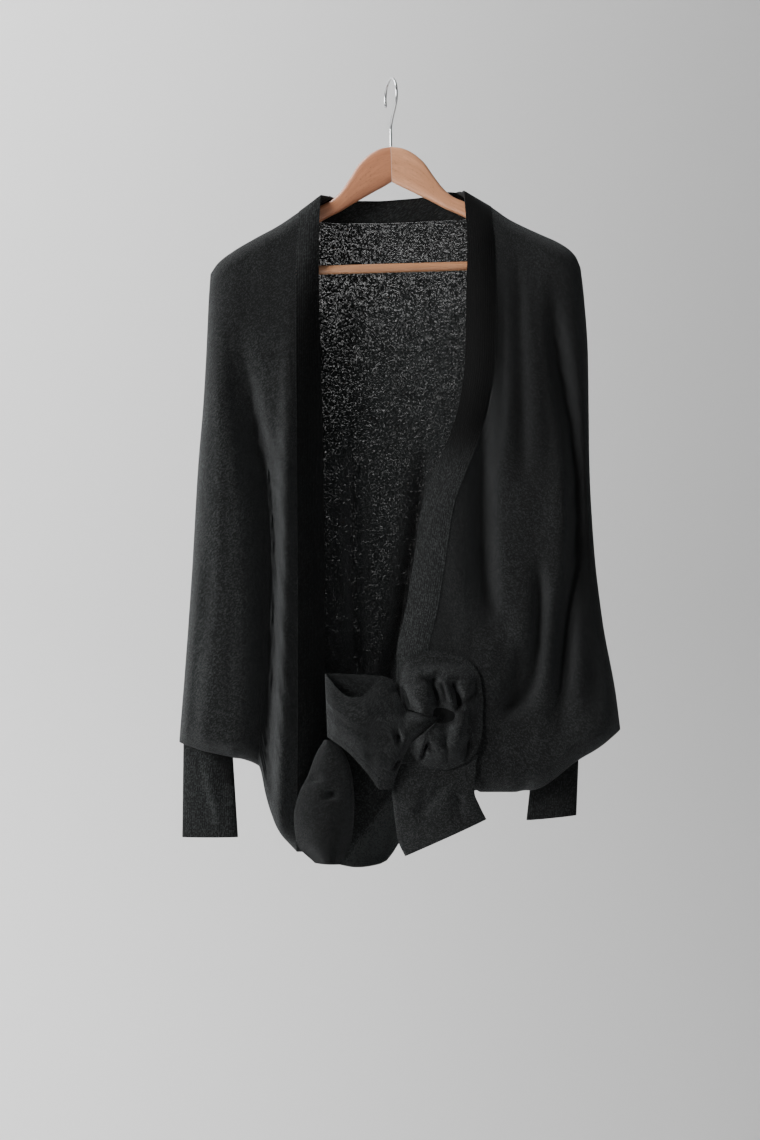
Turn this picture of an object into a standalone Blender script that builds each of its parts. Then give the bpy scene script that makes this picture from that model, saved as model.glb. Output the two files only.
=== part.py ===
"""Open-front knit cardigan with wide wing sleeves, its hem tied in a knot, on a wooden hanger.

Metres, +Z up. The front faces -Y, and left and right are as seen from the front. The origin is the
seat of the hook: the inner top of its wire, where it bears on the rail that carries it.
Driving dimensions are in millimetres.
"""
import math
from typing import NamedTuple

import bmesh
import bpy
import numpy as np

MM = 0.001

# Cloth
WALL = 2.0
BAND_WALL = 3.0
SEAM_GAP = 0.3
BAND_GAP = 0.35
LAP_GAP = 0.45

# Hanger
ARM_THICK = 14.0
ARM_BOW = 16.0
ARM_RING = 12
ARM_SQUARE = (0.6, 0.7)
BAR_RADIUS = 5.4
BAR_DROP = -227.0
BAR_HALF = 172.0
BAR_SIDES = 12
HANGER_TILT = math.radians(1.6)
DOME_TOP = -80.4
HOOK_WIRE = 1.7
HOOK_INNER = 20.0
HOOK_TURN = math.radians(18.0)
HOOK_KINK = -57.6
# The curl in degrees, and the shank below it: (reach, height over the kink).
HOOK_CURL = (205.0, -48.0)
HOOK_STEPS = 24
HOOK_SHANK = ((4.2, 9.0), (0.2, 2.5), (-0.6, -3.0), (0.0, -10.0))

# Depth of the body, front to back
FOLD_REACH = 24.0
TOP_REACH = 19.0
HEM_REACH = 26.0
SPREAD_HALF = 210.0


class Outline(NamedTuple):
    """The cloth's outer fold on one side, by height."""

    height: float
    outer: float


class Edge(NamedTuple):
    """A front's seam with its band, and the band's free edge, by height."""

    height: float
    seam: float
    free: float
    free_depth: float


class Corner(NamedTuple):
    """A point of an outline in the plane of the front."""

    across: float
    height: float


class Fold(NamedTuple):
    """A soft trough (depth over 0) or ridge (under 0) along a path, with the reach of each flank."""

    depth: float
    left: float
    right: float
    path: tuple


class Depth(NamedTuple):
    """How far the fronts and the back stand off the middle of the cloth, by height."""

    height: float
    front: float
    back: float


class BandRow(NamedTuple):
    """A stretch of the back neck's band: its seam and its free edge."""

    seam_across: float
    seam_height: float
    free_across: float
    free_height: float


class ArmRow(NamedTuple):
    """Top and bottom of a hanger arm by distance from the middle."""

    reach: float
    top: float
    bottom: float


class Side(NamedTuple):
    """The tables of one side of the garment."""

    outline: tuple
    shoulder: tuple
    hem: tuple
    back_hem: tuple
    base: tuple
    edge: tuple
    folds: tuple
    cuff_inner: float
    joined_inner: float
    top_free: float
    top_rise: float


class Cuff(NamedTuple):
    """A cuff's tube: its ends by height, where its middle is and how wide and deep it lies."""

    top: float
    bottom: float
    top_middle: float
    bottom_middle: float
    top_half: float
    bottom_half: float
    place: float
    depth: float
    slant: float


class Rim(NamedTuple):
    """The knot's reach from its pinched middle at an angle in degrees, up from the right."""

    angle: float
    reach: float


class Loop(NamedTuple):
    """A section of the left tail's loop, with its top and bottom edge and how it swells and leans."""

    across: float
    depth: float
    top: float
    bottom: float
    crown: float
    lean: float
    drift: float


LEFT_OUTLINE = (
    Outline(-235, -214.5),
    Outline(-264, -216.5),
    Outline(-330, -219.5),
    Outline(-390, -223.0),
    Outline(-462, -229.0),
    Outline(-588, -236.5),
    Outline(-700, -244.5),
    Outline(-792, -252.0),
)
RIGHT_OUTLINE = (
    Outline(-228, 225.5),
    Outline(-264, 229.5),
    Outline(-330, 234.0),
    Outline(-462, 236.0),
    Outline(-560, 241.5),
    Outline(-650, 252.0),
    Outline(-732, 267.0),
    Outline(-777, 273.0),
)

# The shoulder line on each side, from the neck to the outer fold
LEFT_SHOULDER = (
    Corner(-109.0, -159.5),
    Corner(-133.0, -176.5),
    Corner(-161.0, -192.5),
    Corner(-186.0, -207.5),
    Corner(-205.0, -222.0),
    Corner(-214.5, -235.0),
)
RIGHT_SHOULDER = (
    Corner(118.0, -153.5),
    Corner(140.0, -169.3),
    Corner(175.0, -186.2),
    Corner(204.0, -200.5),
    Corner(219.0, -213.6),
    Corner(225.5, -228.0),
)

# The lower edge on each side, from the outer fold to the seam with the band
LEFT_HEM = (
    Corner(-252.0, -793.0),
    Corner(-223.0, -803.0),
    Corner(-188.0, -811.0),
    Corner(-158.0, -822.0),
    Corner(-149.0, -856.0),
    Corner(-133.0, -897.0),
    Corner(-112.0, -922.0),
)
RIGHT_HEM = (
    Corner(273.0, -778.0),
    Corner(247.0, -799.0),
    Corner(224.0, -813.0),
    Corner(176.0, -848.0),
    Corner(162.0, -851.0),
    Corner(107.0, -851.0),
    Corner(84.0, -826.0),
    Corner(44.0, -760.0),
)
RIGHT_BACK_HEM = (
    Corner(273.0, -778.0),
    Corner(247.0, -799.0),
    Corner(224.0, -813.0),
    Corner(176.0, -848.0),
    Corner(162.0, -851.0),
    Corner(107.0, -852.0),
)
# The back's lower edge between the two sides
BACK_HEM = (
    Corner(-112.0, -922.0),
    Corner(-77.0, -938.0),
    Corner(-40.0, -946.0),
    Corner(-10.0, -941.0),
    Corner(16.0, -908.0),
    Corner(50.0, -877.0),
    Corner(84.0, -857.0),
    Corner(107.0, -852.0),
)

LEFT_EDGE = (
    Edge(-140, -109.0, -74.0, -4.0),
    Edge(-165, -109.5, -84.0, -19.0),
    Edge(-204, -112.0, -86.0, -24.0),
    Edge(-264, -113.0, -86.5, -18.0),
    Edge(-336, -113.0, -84.5, -11.0),
    Edge(-456, -112.0, -82.0, -8.0),
    Edge(-600, -111.0, -80.0, -8.0),
    Edge(-750, -111.0, -80.0, -11.0),
    Edge(-925, -112.0, -84.0, -18.0),
)
RIGHT_EDGE = (
    Edge(-135, 118.0, 84.0, -4.0),
    Edge(-165, 120.0, 88.0, -22.0),
    Edge(-204, 124.0, 91.0, -29.0),
    Edge(-264, 125.0, 90.0, -28.0),
    Edge(-336, 124.0, 89.0, -24.0),
    Edge(-384, 118.0, 83.0, -20.0),
    Edge(-432, 105.0, 69.0, -16.0),
    Edge(-474, 88.0, 50.0, -14.0),
    Edge(-516, 74.0, 37.0, -14.0),
    Edge(-576, 65.0, 28.0, -18.0),
    Edge(-636, 55.0, 18.0, -26.0),
    Edge(-690, 44.0, 7.0, -34.0),
    Edge(-760, 44.0, 7.0, -38.0),
)

# Where the back's right side ends and its middle begins, by height
RIGHT_BASE = (
    Corner(-153.5, 118.0),
    Corner(-300.0, 118.0),
    Corner(-600.0, 112.0),
    Corner(-852.0, 107.0),
)

DEPTHS = (
    Depth(-140, 13.0, 13.0),
    Depth(-190, 18.0, 16.0),
    Depth(-264, 25.0, 21.0),
    Depth(-400, 30.0, 25.0),
    Depth(-600, 34.0, 27.0),
    Depth(-760, 38.0, 27.0),
    Depth(-950, 38.0, 24.0),
)

BACK_BAND = (
    BandRow(-109.0, -159.5, -73.5, -141.0),
    BandRow(-105.0, -160.5, -71.5, -139.5),
    BandRow(-98.0, -165.0, -65.0, -139.5),
    BandRow(-86.0, -169.0, -55.0, -141.5),
    BandRow(-60.0, -170.5, -38.0, -143.5),
    BandRow(-25.0, -170.5, -16.0, -143.5),
    BandRow(10.0, -169.5, 8.0, -142.0),
    BandRow(45.0, -168.0, 32.0, -140.0),
    BandRow(80.0, -166.5, 56.0, -136.5),
    BandRow(102.0, -163.0, 70.0, -133.0),
    BandRow(113.5, -155.0, 80.5, -134.0),
    BandRow(118.0, -153.5, 84.0, -136.0),
)

LEFT_FOLDS = (
    Fold(25, 24, 11, ((-190, -276), (-174, -348), (-159, -420), (-146, -492), (-141, -576), (-143, -696),
                      (-148, -800), (-150, -900))),
    Fold(-13, 9, 12, ((-121, -240), (-123, -384), (-125, -504), (-127, -624), (-128, -744), (-131, -900),
                      (-132, -990))),
    Fold(5, 8, 12, ((-214, -540), (-220, -636), (-228, -710), (-236, -800), (-238, -850))),
)
RIGHT_FOLDS = (
    Fold(14, 15, 14, ((111, -300), (109, -420), (108, -504), (110, -576), (117, -636), (126, -690))),
    Fold(20, 12, 14, ((186, -225), (194, -300), (205, -372), (214, -432), (220, -504), (218, -576),
                      (210, -648), (203, -720), (198, -800))),
    Fold(11, 14, 16, ((236, -500), (238, -600), (240, -680), (240, -780))),
    Fold(11, 9, 9, ((172, -560), (177, -624), (175, -672), (169, -714), (152, -746), (118, -768))),
    Fold(9, 12, 10, ((156, -670), (148, -726), (132, -764))),
    Fold(4, 9, 9, ((148, -190), (152, -264), (154, -384), (156, -500))),
)
BACK_FOLDS = (
    Fold(13, 10, 10, ((-42, -400), (-44, -528), (-43, -624), (-40, -740), (-38, -800))),
    Fold(13, 12, 10, ((44, -400), (36, -500), (28, -560), (16, -640), (0, -730), (-8, -800))),
    Fold(-9, 22, 22, ((-84, -360), (-88, -520), (-86, -700), (-80, -960))),
    Fold(-12, 20, 24, ((-176, -250), (-164, -420), (-150, -600), (-146, -900))),
    Fold(-13, 22, 20, ((188, -240), (178, -420), (172, -600), (170, -860))),
    Fold(-9, 20, 20, ((96, -280), (100, -460), (92, -640), (80, -900))),
    Fold(8, 14, 14, ((-120, -300), (-122, -500), (-116, -700), (-112, -980))),
    Fold(9, 14, 14, ((140, -300), (138, -500), (134, -700), (132, -900))),
)

# The knot draws both fronts forward round it
KNOT_AT = Corner(59.0, -762.0)
KNOT_PULL = 12.0
KNOT_PULL_REACH = 95.0

# The two sides and their cuffs
LEFT = Side(LEFT_OUTLINE, LEFT_SHOULDER, LEFT_HEM, LEFT_HEM, LEFT_EDGE, LEFT_EDGE, LEFT_FOLDS,
            -183.0, -158.0, -73.5, 18.5)
RIGHT = Side(RIGHT_OUTLINE, RIGHT_SHOULDER, RIGHT_HEM, RIGHT_BACK_HEM, RIGHT_BASE, RIGHT_EDGE,
             RIGHT_FOLDS, 166.0, 162.0, 84.0, 17.5)
LEFT_CUFF = Cuff(-788.0, -907.0, -219.0, -216.0, 28.0, 32.5, -12.4, 7.0, 0.0)
RIGHT_CUFF = Cuff(-804.0, -884.0, 198.0, 192.0, 26.0, 29.0, -9.6, 7.6, 3.0)

# Share of the way across a side, from the outer fold to the seam with the band
SIDE_COLUMNS = (0, 0.008, 0.032, 0.075, 0.14, 0.22, 0.31, 0.40, 0.49, 0.57, 0.645, 0.715, 0.785, 0.855, 0.925, 1)
SPREAD_FROM = 0.5
# Share of the way across the back's middle, closest where the neck seam passes behind the hanger
MIDDLE_COLUMNS = (0.007, 0.018, 0.04, 0.08, 0.15, 0.24, 0.34, 0.45, 0.56, 0.67, 0.77, 0.86, 0.925, 0.96,
                  0.982, 0.993)
NECK_TURN = 5.0
BAND_COLUMNS = (0.0, 0.3, 0.65, 1.0)
BAND_CROWN = 3.0
BAND_RISE_REACH = 46.0
NECK_STAND = 13.0
NECK_EASE = 6.0
HEM_OPEN = 0.62
CUFF_MOUTH = 0.36
JOINED = 0.02
LEAST_STAND = 4.0
CUFF_ROWS = (0, 0.18, 0.38, 0.6, 0.8, 1)
CUFF_SIDES = 20
CUFF_SWELL = 0.25

# The knot: cloth drawn together to a pinched middle, by its reach at each angle from the right
KNOT_RIM = (
    Rim(-140, 50),
    Rim(-124, 58),
    Rim(-107, 61),
    Rim(-90, 62),
    Rim(-71, 61),
    Rim(-48, 59),
    Rim(-27, 53),
    Rim(2, 49),
    Rim(31, 57),
    Rim(51, 69),
    Rim(67, 75),
    Rim(84, 78),
    Rim(103, 80),
    Rim(119, 80),
    Rim(134, 70),
    Rim(149, 57),
    Rim(166, 46),
)
KNOT_TURNS = 48
KNOT_RINGS = 14
KNOT_PINCH = 6.0
KNOT_CREST = 0.42
KNOT_SWELL = 14.0
KNOT_FALL = 1.6
KNOT_LAP_EASE = 0.7
# How far the knot stands off what lies under it: the right front, the band, the right tail
KNOT_OVER_BAND = 2.4
KNOT_OVER_TAIL = 3.2
KNOT_ROLL = 7.0
# Angles between which the knot goes from one of them to the next
KNOT_TO_TAIL = (6.0, 34.0)
KNOT_TO_BAND = (80.0, 104.0)
KNOT_TO_ROLL = (112.0, 136.0)
KNOT_SEATED = (0.55, 0.9)
KNOT_ROLL_FROM = 0.72
KNOT_FOLDS = (
    Fold(14, 11, 9, ((44, -757), (60, -758), (80, -761))),
    Fold(11, 8, 9, ((57, -750), (53, -734), (50, -718), (47, -708))),
    Fold(11, 8, 9, ((81, -756), (79, -740), (73, -724), (70, -714))),
    Fold(6, 9, 9, ((91, -728), (91, -750), (89, -780), (86, -808))),
    Fold(11, 10, 10, ((37, -797), (44, -799))),
    Fold(6, 9, 8, ((38, -756), (26, -748), (16, -736), (12, -724))),
    Fold(5, 8, 8, ((62, -768), (65, -784), (62, -800))),
    Fold(4, 7, 8, ((86, -746), (98, -730), (104, -716))),
    Fold(3, 9, 8, ((20, -708), (44, -699), (70, -698), (92, -707))),
)

# The left tail, from its front end under the knot, round its tip, to its end behind
TAIL_LOOP = (
    Loop(53.6, -53, -761.6, -764.6, 0, 0, 0),
    Loop(46, -55, -760.6, -771, 4, 0, 0),
    Loop(35, -57, -757.8, -779.6, 8, 0, 0),
    Loop(26, -57.5, -755.6, -786.8, 9, 0, 0),
    Loop(17, -57, -752.8, -804, 10, 0, -1),
    Loop(8.5, -57, -735, -828, 10, 0, -2),
    Loop(1, -58, -719, -846, 9, 0, -3),
    Loop(-9, -60.5, -713, -846, 8, 1, -4),
    Loop(-17, -63, -718, -836, 8, 3, -4),
    Loop(-25, -66, -729, -826, 7, 4, -3.5),
    Loop(-34, -68, -736, -816, 7, 5, -3),
    Loop(-47, -69, -737, -803, 6, 5, -2),
    Loop(-60, -67, -730, -794, 5, 4, 0),
    Loop(-71, -64, -717, -788, 4, 4, 2),
    Loop(-77, -60, -711, -784, 2, 2, 3),
    Loop(-76, -56, -710, -780, 0, 0, 4),
    Loop(-66, -53, -710, -776, 0, 0, 4),
    Loop(-48, -50.5, -711, -776, 0, 0, 0),
    Loop(-28, -48.5, -712, -776, 0, 0, 0),
    Loop(-10, -47.5, -714, -776, 0, 0, 0),
    Loop(3, -47, -718, -776, 0, 0, 0),
)
TAIL_ROWS = 9
TAIL_GRID = (13, 11)
TAIL_EASE = 0.6
TAIL_SWELL = 7.0
TAIL_FREE = 5.0
# Height below which the right tail comes out from under the knot, and where it hangs free
TAIL_FROM = (818.0, 862.0)
TAIL_TO_HEM = (880.0, 930.0)
TAIL_HEM_SHARE = 0.6
RIGHT_TAIL_LEFT = (Corner(-2, -818), Corner(1, -845), Corner(5, -880), Corner(9, -908), Corner(17, -926))
RIGHT_TAIL_RIGHT = (Corner(102, -806), Corner(99, -832), Corner(98, -850), Corner(104, -866), Corner(112, -882))
TAIL_FOLDS = (
    Fold(5, 8, 8, ((66, -830), (54, -850), (42, -866), (30, -884))),
    Fold(4, 10, 8, ((88, -816), (84, -840), (80, -864), (84, -890))),
)

# The turned corner of the hem, between its left and its right edge
TURN_LEFT = (Corner(-82, -790), Corner(-88, -806), Corner(-98, -832), Corner(-108, -852), Corner(-114, -880),
             Corner(-110, -912), Corner(-90, -934))
TURN_RIGHT = (Corner(-64, -788), Corner(-54, -808), Corner(-46, -836), Corner(-44, -866), Corner(-46, -900),
              Corner(-52, -922), Corner(-60, -936))
TURN_DEPTH = -44.6
TURN_SWELL = 15.0
TURN_GRID = (15, 11)
# How the drop fills out down its length: where the arch starts, and how much of it is used.
TURN_ARCH = (0.1, 0.75)
TURN_FOLDS = (
    Fold(8, 8, 8, ((-71, -844), (-69, -860))),
    Fold(4, 8, 8, ((-91, -828), (-88, -840))),
)
# The turned corner's swell: how sharp its rim is above and below, and how it grows down its length
TURN_RIM = 0.55
TURN_RIM_EASE = 0.9
TURN_EASE_FROM = 0.6
TURN_TOP_SHARE = 0.35

# Hanger arm: top and bottom by distance from the middle
ARM_ROWS = (
    ArmRow(0.0, -80.4, -122.4),
    ArmRow(10.0, -81.6, -128.0),
    ArmRow(21.0, -85.6, -133.5),
    ArmRow(38.0, -99.0, -142.5),
    ArmRow(51.0, -118.0, -149.5),
    ArmRow(62.0, -133.0, -156.0),
    ArmRow(74.0, -143.5, -161.5),
    ArmRow(90.0, -150.6, -170.0),
    ArmRow(112.0, -160.3, -182.0),
    ArmRow(133.0, -173.4, -196.0),
    ArmRow(150.0, -182.8, -208.5),
    ArmRow(161.0, -188.5, -231.0),
    ArmRow(186.0, -202.4, -238.0),
    ArmRow(199.0, -211.6, -235.0),
    ArmRow(207.0, -220.5, -228.5),
)
ARM_STATIONS = (0.15, 10, 21, 30, 38, 45, 51, 57, 62, 68, 74, 90, 112, 133, 147, 154, 161, 174, 186, 195, 201,
                205, 207)
# Share of the way down, from the shoulder to the hem
ROWS = (0, 0.0022, 0.008, 0.017, 0.031, 0.06, 0.1, 0.15, 0.2, 0.255, 0.31, 0.37, 0.43, 0.49, 0.55, 0.61,
        0.67, 0.73, 0.79, 0.85, 0.9, 0.943, 0.976, 1)


def between(rows, at, column):
    """Smooth value of a table's column: rows hold the place first, and no value overshoots."""
    places = np.array([row[0] for row in rows], dtype=float)
    values = np.array([row[column] for row in rows], dtype=float)
    if places[0] > places[-1]:
        places = places[::-1]
        values = values[::-1]
    at = np.clip(np.asarray(at, dtype=float), places[0], places[-1])
    steps = np.diff(places)
    slopes = np.diff(values) / steps
    tangents = np.zeros(len(places))
    same = slopes[:-1] * slopes[1:] > 0
    safe = np.where(same, slopes[:-1] + slopes[1:], 1.0)
    tangents[1:-1] = np.where(same, 2 * slopes[:-1] * slopes[1:] / safe, 0.0)
    tangents[0] = slopes[0]
    tangents[-1] = slopes[-1]
    spot = np.clip(np.searchsorted(places, at, side="right") - 1, 0, len(steps) - 1)
    step = steps[spot]
    t = (at - places[spot]) / step
    rise = values[spot] * (1 + 2 * t) * (1 - t) ** 2 + values[spot + 1] * t * t * (3 - 2 * t)
    return rise + step * (tangents[spot] * t * (1 - t) ** 2 - tangents[spot + 1] * t * t * (1 - t))


def along(points, share):
    """Smooth points at shares of the length of a line through a few points."""
    points = np.array(points, dtype=float)
    gaps = np.linalg.norm(np.diff(points, axis=0), axis=1)
    places = np.concatenate([[0.0], np.cumsum(gaps)]) / gaps.sum()
    rows = [(place, *point) for place, point in zip(places, points)]
    return np.stack([between(rows, share, column + 1) for column in range(points.shape[1])], axis=-1)


def stacked(across, depth, height):
    """Points from their across, depth and height."""
    return np.stack([across, depth, height], axis=-1)


def smooth(value, low, high):
    """Eased step from 0 at low to 1 at high."""
    t = np.clip((np.asarray(value, dtype=float) - low) / (high - low), 0.0, 1.0)
    return t * t * (3 - 2 * t)


def rounded(distance, reach):
    """Quarter ellipse: 0 at a fold, and 1 from its reach on."""
    t = np.clip(np.asarray(distance, dtype=float) / reach, 0.0, 1.0)
    return np.sqrt(np.clip(1 - (1 - t) ** 2, 0.0, 1.0))


def fold_depth(folds, across, height):
    """Sum of the folds' depths at points of the cloth."""
    total = np.zeros_like(across)
    for fold in folds:
        path = along(fold.path, np.linspace(0, 1, 41))
        offset_x = across[..., None] - path[:, 0]
        offset_z = height[..., None] - path[:, 1]
        nearest = np.argmin(offset_x ** 2 + offset_z ** 2, axis=-1)
        ahead = np.gradient(path, axis=0)
        ahead /= np.linalg.norm(ahead, axis=1)[:, None]
        dx = np.take_along_axis(offset_x, nearest[..., None], -1)[..., 0]
        dz = np.take_along_axis(offset_z, nearest[..., None], -1)[..., 0]
        distance = np.hypot(dx, dz)
        reach = np.where(dx > 0, fold.right, fold.left)
        share = nearest / (len(path) - 1)
        taper = smooth(share, 0.0, 0.28) * smooth(1 - share, 0.0, 0.22)
        total += fold.depth * taper * np.exp(-(distance / reach) ** 2)
    return total


def middle_depth(across, height):
    """Depth of the middle of the cloth: it bows forward to the shoulders as the hanger does."""
    ease = 1 - 0.45 * smooth(-height, 300, 850)
    return -ARM_BOW * (across / SPREAD_HALF) ** 2 * ease


def pull(across, height):
    """How far the knot draws the cloth forward."""
    square = (across - KNOT_AT.across) ** 2 + ((height - KNOT_AT.height) * 0.8) ** 2
    return KNOT_PULL * np.exp(-square / KNOT_PULL_REACH ** 2)


def side_plan(side, hem, edge):
    """Points of a side, rows down from the shoulder and columns from the outer fold.

    The columns nearest the fold lie alike on a front and the back; the others spread to the edge given.
    """
    share = np.array(SIDE_COLUMNS)
    spread = smooth(share, SPREAD_FROM, 1.0)
    down = np.array(ROWS)[:, None]
    top_x = side.outline[0].outer + (side.shoulder[0].across - side.outline[0].outer) * share
    top = between(side.shoulder, top_x, 1)
    base_low = between(side.base, hem[-1].height, 1)
    low_x = hem[0].across + (base_low - hem[0].across) * share + (hem[-1].across - base_low) * spread
    low = between(hem, low_x, 1)
    height = top + (low - top) * down
    outer = between(side.outline, height, 1)
    base = between(side.base, height, 1)
    across = outer + (base - outer) * share + (between(edge, height, 1) - base) * spread
    across[0] = top_x
    return across, height, top - height, height - low


def hem_closure(side, across):
    """Share of the depth left at the lower edge: a cuff's mouth, a joined stretch, an open hem."""
    reach = np.abs(across)
    to_cuff = smooth(reach, abs(side.cuff_inner) - 4, abs(side.cuff_inner) + 4)
    to_open = 1 - smooth(reach, abs(side.joined_inner) - 14, abs(side.joined_inner) - 2)
    return CUFF_MOUTH * to_cuff + HEM_OPEN * to_open


def side_share(side, across, height, below, above):
    """How far a side has rounded from its fold, its shoulder and its lower edge towards full depth."""
    outer = between(side.outline, height, 1)
    share = rounded(np.abs(outer - across), FOLD_REACH) * rounded(below, TOP_REACH)
    closure = hem_closure(side, across)
    return share * (closure + (1 - closure) * rounded(above, HEM_REACH))


def front_depth(side, across, height, share):
    """Depth of a front's mid surface."""
    fold = fold_depth(side.folds, across, height)
    stand = between(DEPTHS, height, 1) + pull(across, height)
    return middle_depth(across, height) - np.maximum(stand - fold, LEAST_STAND) * share


def back_depth(across, height, share):
    """Depth of the back's mid surface."""
    fold = fold_depth(BACK_FOLDS, across, height)
    stand = between(DEPTHS, height, 2)
    return middle_depth(across, height) + np.maximum(stand + fold, LEAST_STAND) * share


def front_grid(side):
    """Mid surface of a front, from its outer fold to its seam with the band."""
    across, height, below, above = side_plan(side, side.hem, side.edge)
    share = side_share(side, across, height, below, above)
    return stacked(across, front_depth(side, across, height, share), height)


def neck_height(across):
    """Height of the back's neck seam."""
    rows = [(row.seam_across, row.seam_height) for row in BACK_BAND]
    return between(rows, across, 1)


def back_grid():
    """Mid surface of the back: left side, middle under the neck, right side."""
    halves = []
    for side in (LEFT, RIGHT):
        across, height, below, above = side_plan(side, side.back_hem, side.base)
        halves.append((across, height, side_share(side, across, height, below, above)))
    step = np.array(MIDDLE_COLUMNS)
    down = np.array(ROWS)[:, None]
    first = LEFT.shoulder[0].across
    last = RIGHT.shoulder[0].across
    top_x = first + (last - first) * step
    top_z = neck_height(top_x)
    low_x = BACK_HEM[0].across + (BACK_HEM[-1].across - BACK_HEM[0].across) * step
    low_z = between(BACK_HEM, low_x, 1)
    middle_z = top_z + (low_z - top_z) * down
    middle_x = top_x + (low_x - top_x) * down
    open_neck = smooth(np.minimum(middle_x - first, last - middle_x), 0, NECK_TURN)
    share = open_neck + (1 - open_neck) * rounded(top_z - middle_z, TOP_REACH)
    share = share * (HEM_OPEN + (1 - HEM_OPEN) * rounded(middle_z - low_z, HEM_REACH))
    (left_x, left_z, left_share), (right_x, right_z, right_share) = halves
    across = np.concatenate([left_x, middle_x, right_x[:, ::-1]], axis=1)
    height = np.concatenate([left_z, middle_z, right_z[:, ::-1]], axis=1)
    share = np.concatenate([left_share, share, right_share[:, ::-1]], axis=1)
    return stacked(across, back_depth(across, height, share), height)


def band_grid(side, panel):
    """Mid surface of a front's band, from its seam with the panel to its free edge."""
    seam = panel[:, -1]
    height = seam[:, 2]
    below = seam[0, 2] - height
    free_x = between(side.edge, height, 2)
    free_y = between(side.edge, height, 3)
    free_z = height + side.top_rise * (1 - smooth(below, 0, BAND_RISE_REACH))
    free = stacked(free_x, free_y, free_z)
    free[0] = (side.top_free, middle_depth(side.top_free, 0), seam[0, 2] + side.top_rise)
    columns = []
    for share in BAND_COLUMNS:
        column = seam + (free - seam) * share
        column[:, 1] -= BAND_CROWN * math.sin(math.pi * share) * smooth(below, 0, BAND_RISE_REACH)
        columns.append(column)
    return np.stack(columns, axis=1)


def neckband_grid(back):
    """Mid surface of the back neck's band, from its free edge down to its seam with the back."""
    first = len(SIDE_COLUMNS) - 1
    seam = back[0, first:first + len(MIDDLE_COLUMNS) + 2]
    rows = [(row.seam_across, row.free_across, row.free_height) for row in BACK_BAND]
    free_x = between(rows, seam[:, 0], 1)
    free_z = between(rows, seam[:, 0], 2)
    ends = smooth(np.minimum(seam[:, 0] - seam[0, 0], seam[-1, 0] - seam[:, 0]), 0, NECK_EASE)
    free_y = middle_depth(free_x, 0) + NECK_STAND * ends
    free = stacked(free_x, free_y, free_z)
    return np.stack([seam + (free - seam) * share for share in BAND_COLUMNS[::-1]], axis=0)


def normals_of(grid, outward_y):
    """Unit normals of a grid of points, on the side that outward_y says."""
    down = np.gradient(grid, axis=0)
    over = np.gradient(grid, axis=1)
    normal = np.cross(down, over)
    normal /= np.linalg.norm(normal, axis=2)[..., None]
    middle = normal[normal.shape[0] // 2, normal.shape[1] // 2]
    if middle[1] * outward_y < 0:
        normal = -normal
    return normal


def share_normals(first, second):
    """The common normals of two edges that meet in a seam; a corner takes its neighbour's."""
    mean = first + second
    size = np.linalg.norm(mean, axis=-1)
    mean[size < 0.1] = mean[1]
    return mean / np.linalg.norm(mean, axis=-1)[..., None]


def draw_back(grid, edges, distance=SEAM_GAP / 2):
    """The grid with the named edges moved in from their seams."""
    moved = grid.copy()
    pairs = {
        "top": ((0, slice(None)), (1, slice(None))),
        "bottom": ((-1, slice(None)), (-2, slice(None))),
        "first": ((slice(None), 0), (slice(None), 1)),
        "last": ((slice(None), -1), (slice(None), -2)),
    }
    for edge in edges:
        rim, inside = pairs[edge]
        step = grid[inside] - grid[rim]
        moved[rim] += step / np.linalg.norm(step, axis=-1)[..., None] * distance
    for edge, column, beside in (("first", 0, 1), ("last", -1, -2)):
        if edge in edges and "top" in edges:
            step = grid[1, beside] - grid[0, column]
            moved[0, column] += step / np.linalg.norm(step) * distance
    return moved


def material(name, color, roughness, metallic=0.0):
    """A plain finish."""
    made = bpy.data.materials.new(name)
    made.use_nodes = True
    shader = made.node_tree.nodes["Principled BSDF"]
    shader.inputs["Base Color"].default_value = (*color, 1.0)
    shader.inputs["Roughness"].default_value = roughness
    shader.inputs["Metallic"].default_value = metallic
    made.diffuse_color = (*color, 1.0)
    return made


def add_mesh(name, points, faces, finish, sharp=math.radians(40)):
    """An object from points in millimetres and its faces."""
    mesh = bpy.data.meshes.new(name)
    mesh.from_pydata([tuple(point * MM) for point in points], [], faces)
    mesh.validate()
    work = bmesh.new()
    work.from_mesh(mesh)
    bmesh.ops.recalc_face_normals(work, faces=work.faces)
    work.to_mesh(mesh)
    work.free()
    mesh.shade_smooth()
    mesh.set_sharp_from_angle(angle=sharp)
    made = bpy.data.objects.new(name, mesh)
    made.data.materials.append(finish)
    bpy.context.collection.objects.link(made)
    return made


def halves(quad, places):
    """The two triangles of a quad, cut along its shorter diagonal."""
    if np.linalg.norm(places[1] - places[3]) < np.linalg.norm(places[0] - places[2]):
        quad = quad[1:] + quad[:1]
    return quad[:3], (quad[0], quad[2], quad[3])


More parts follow.
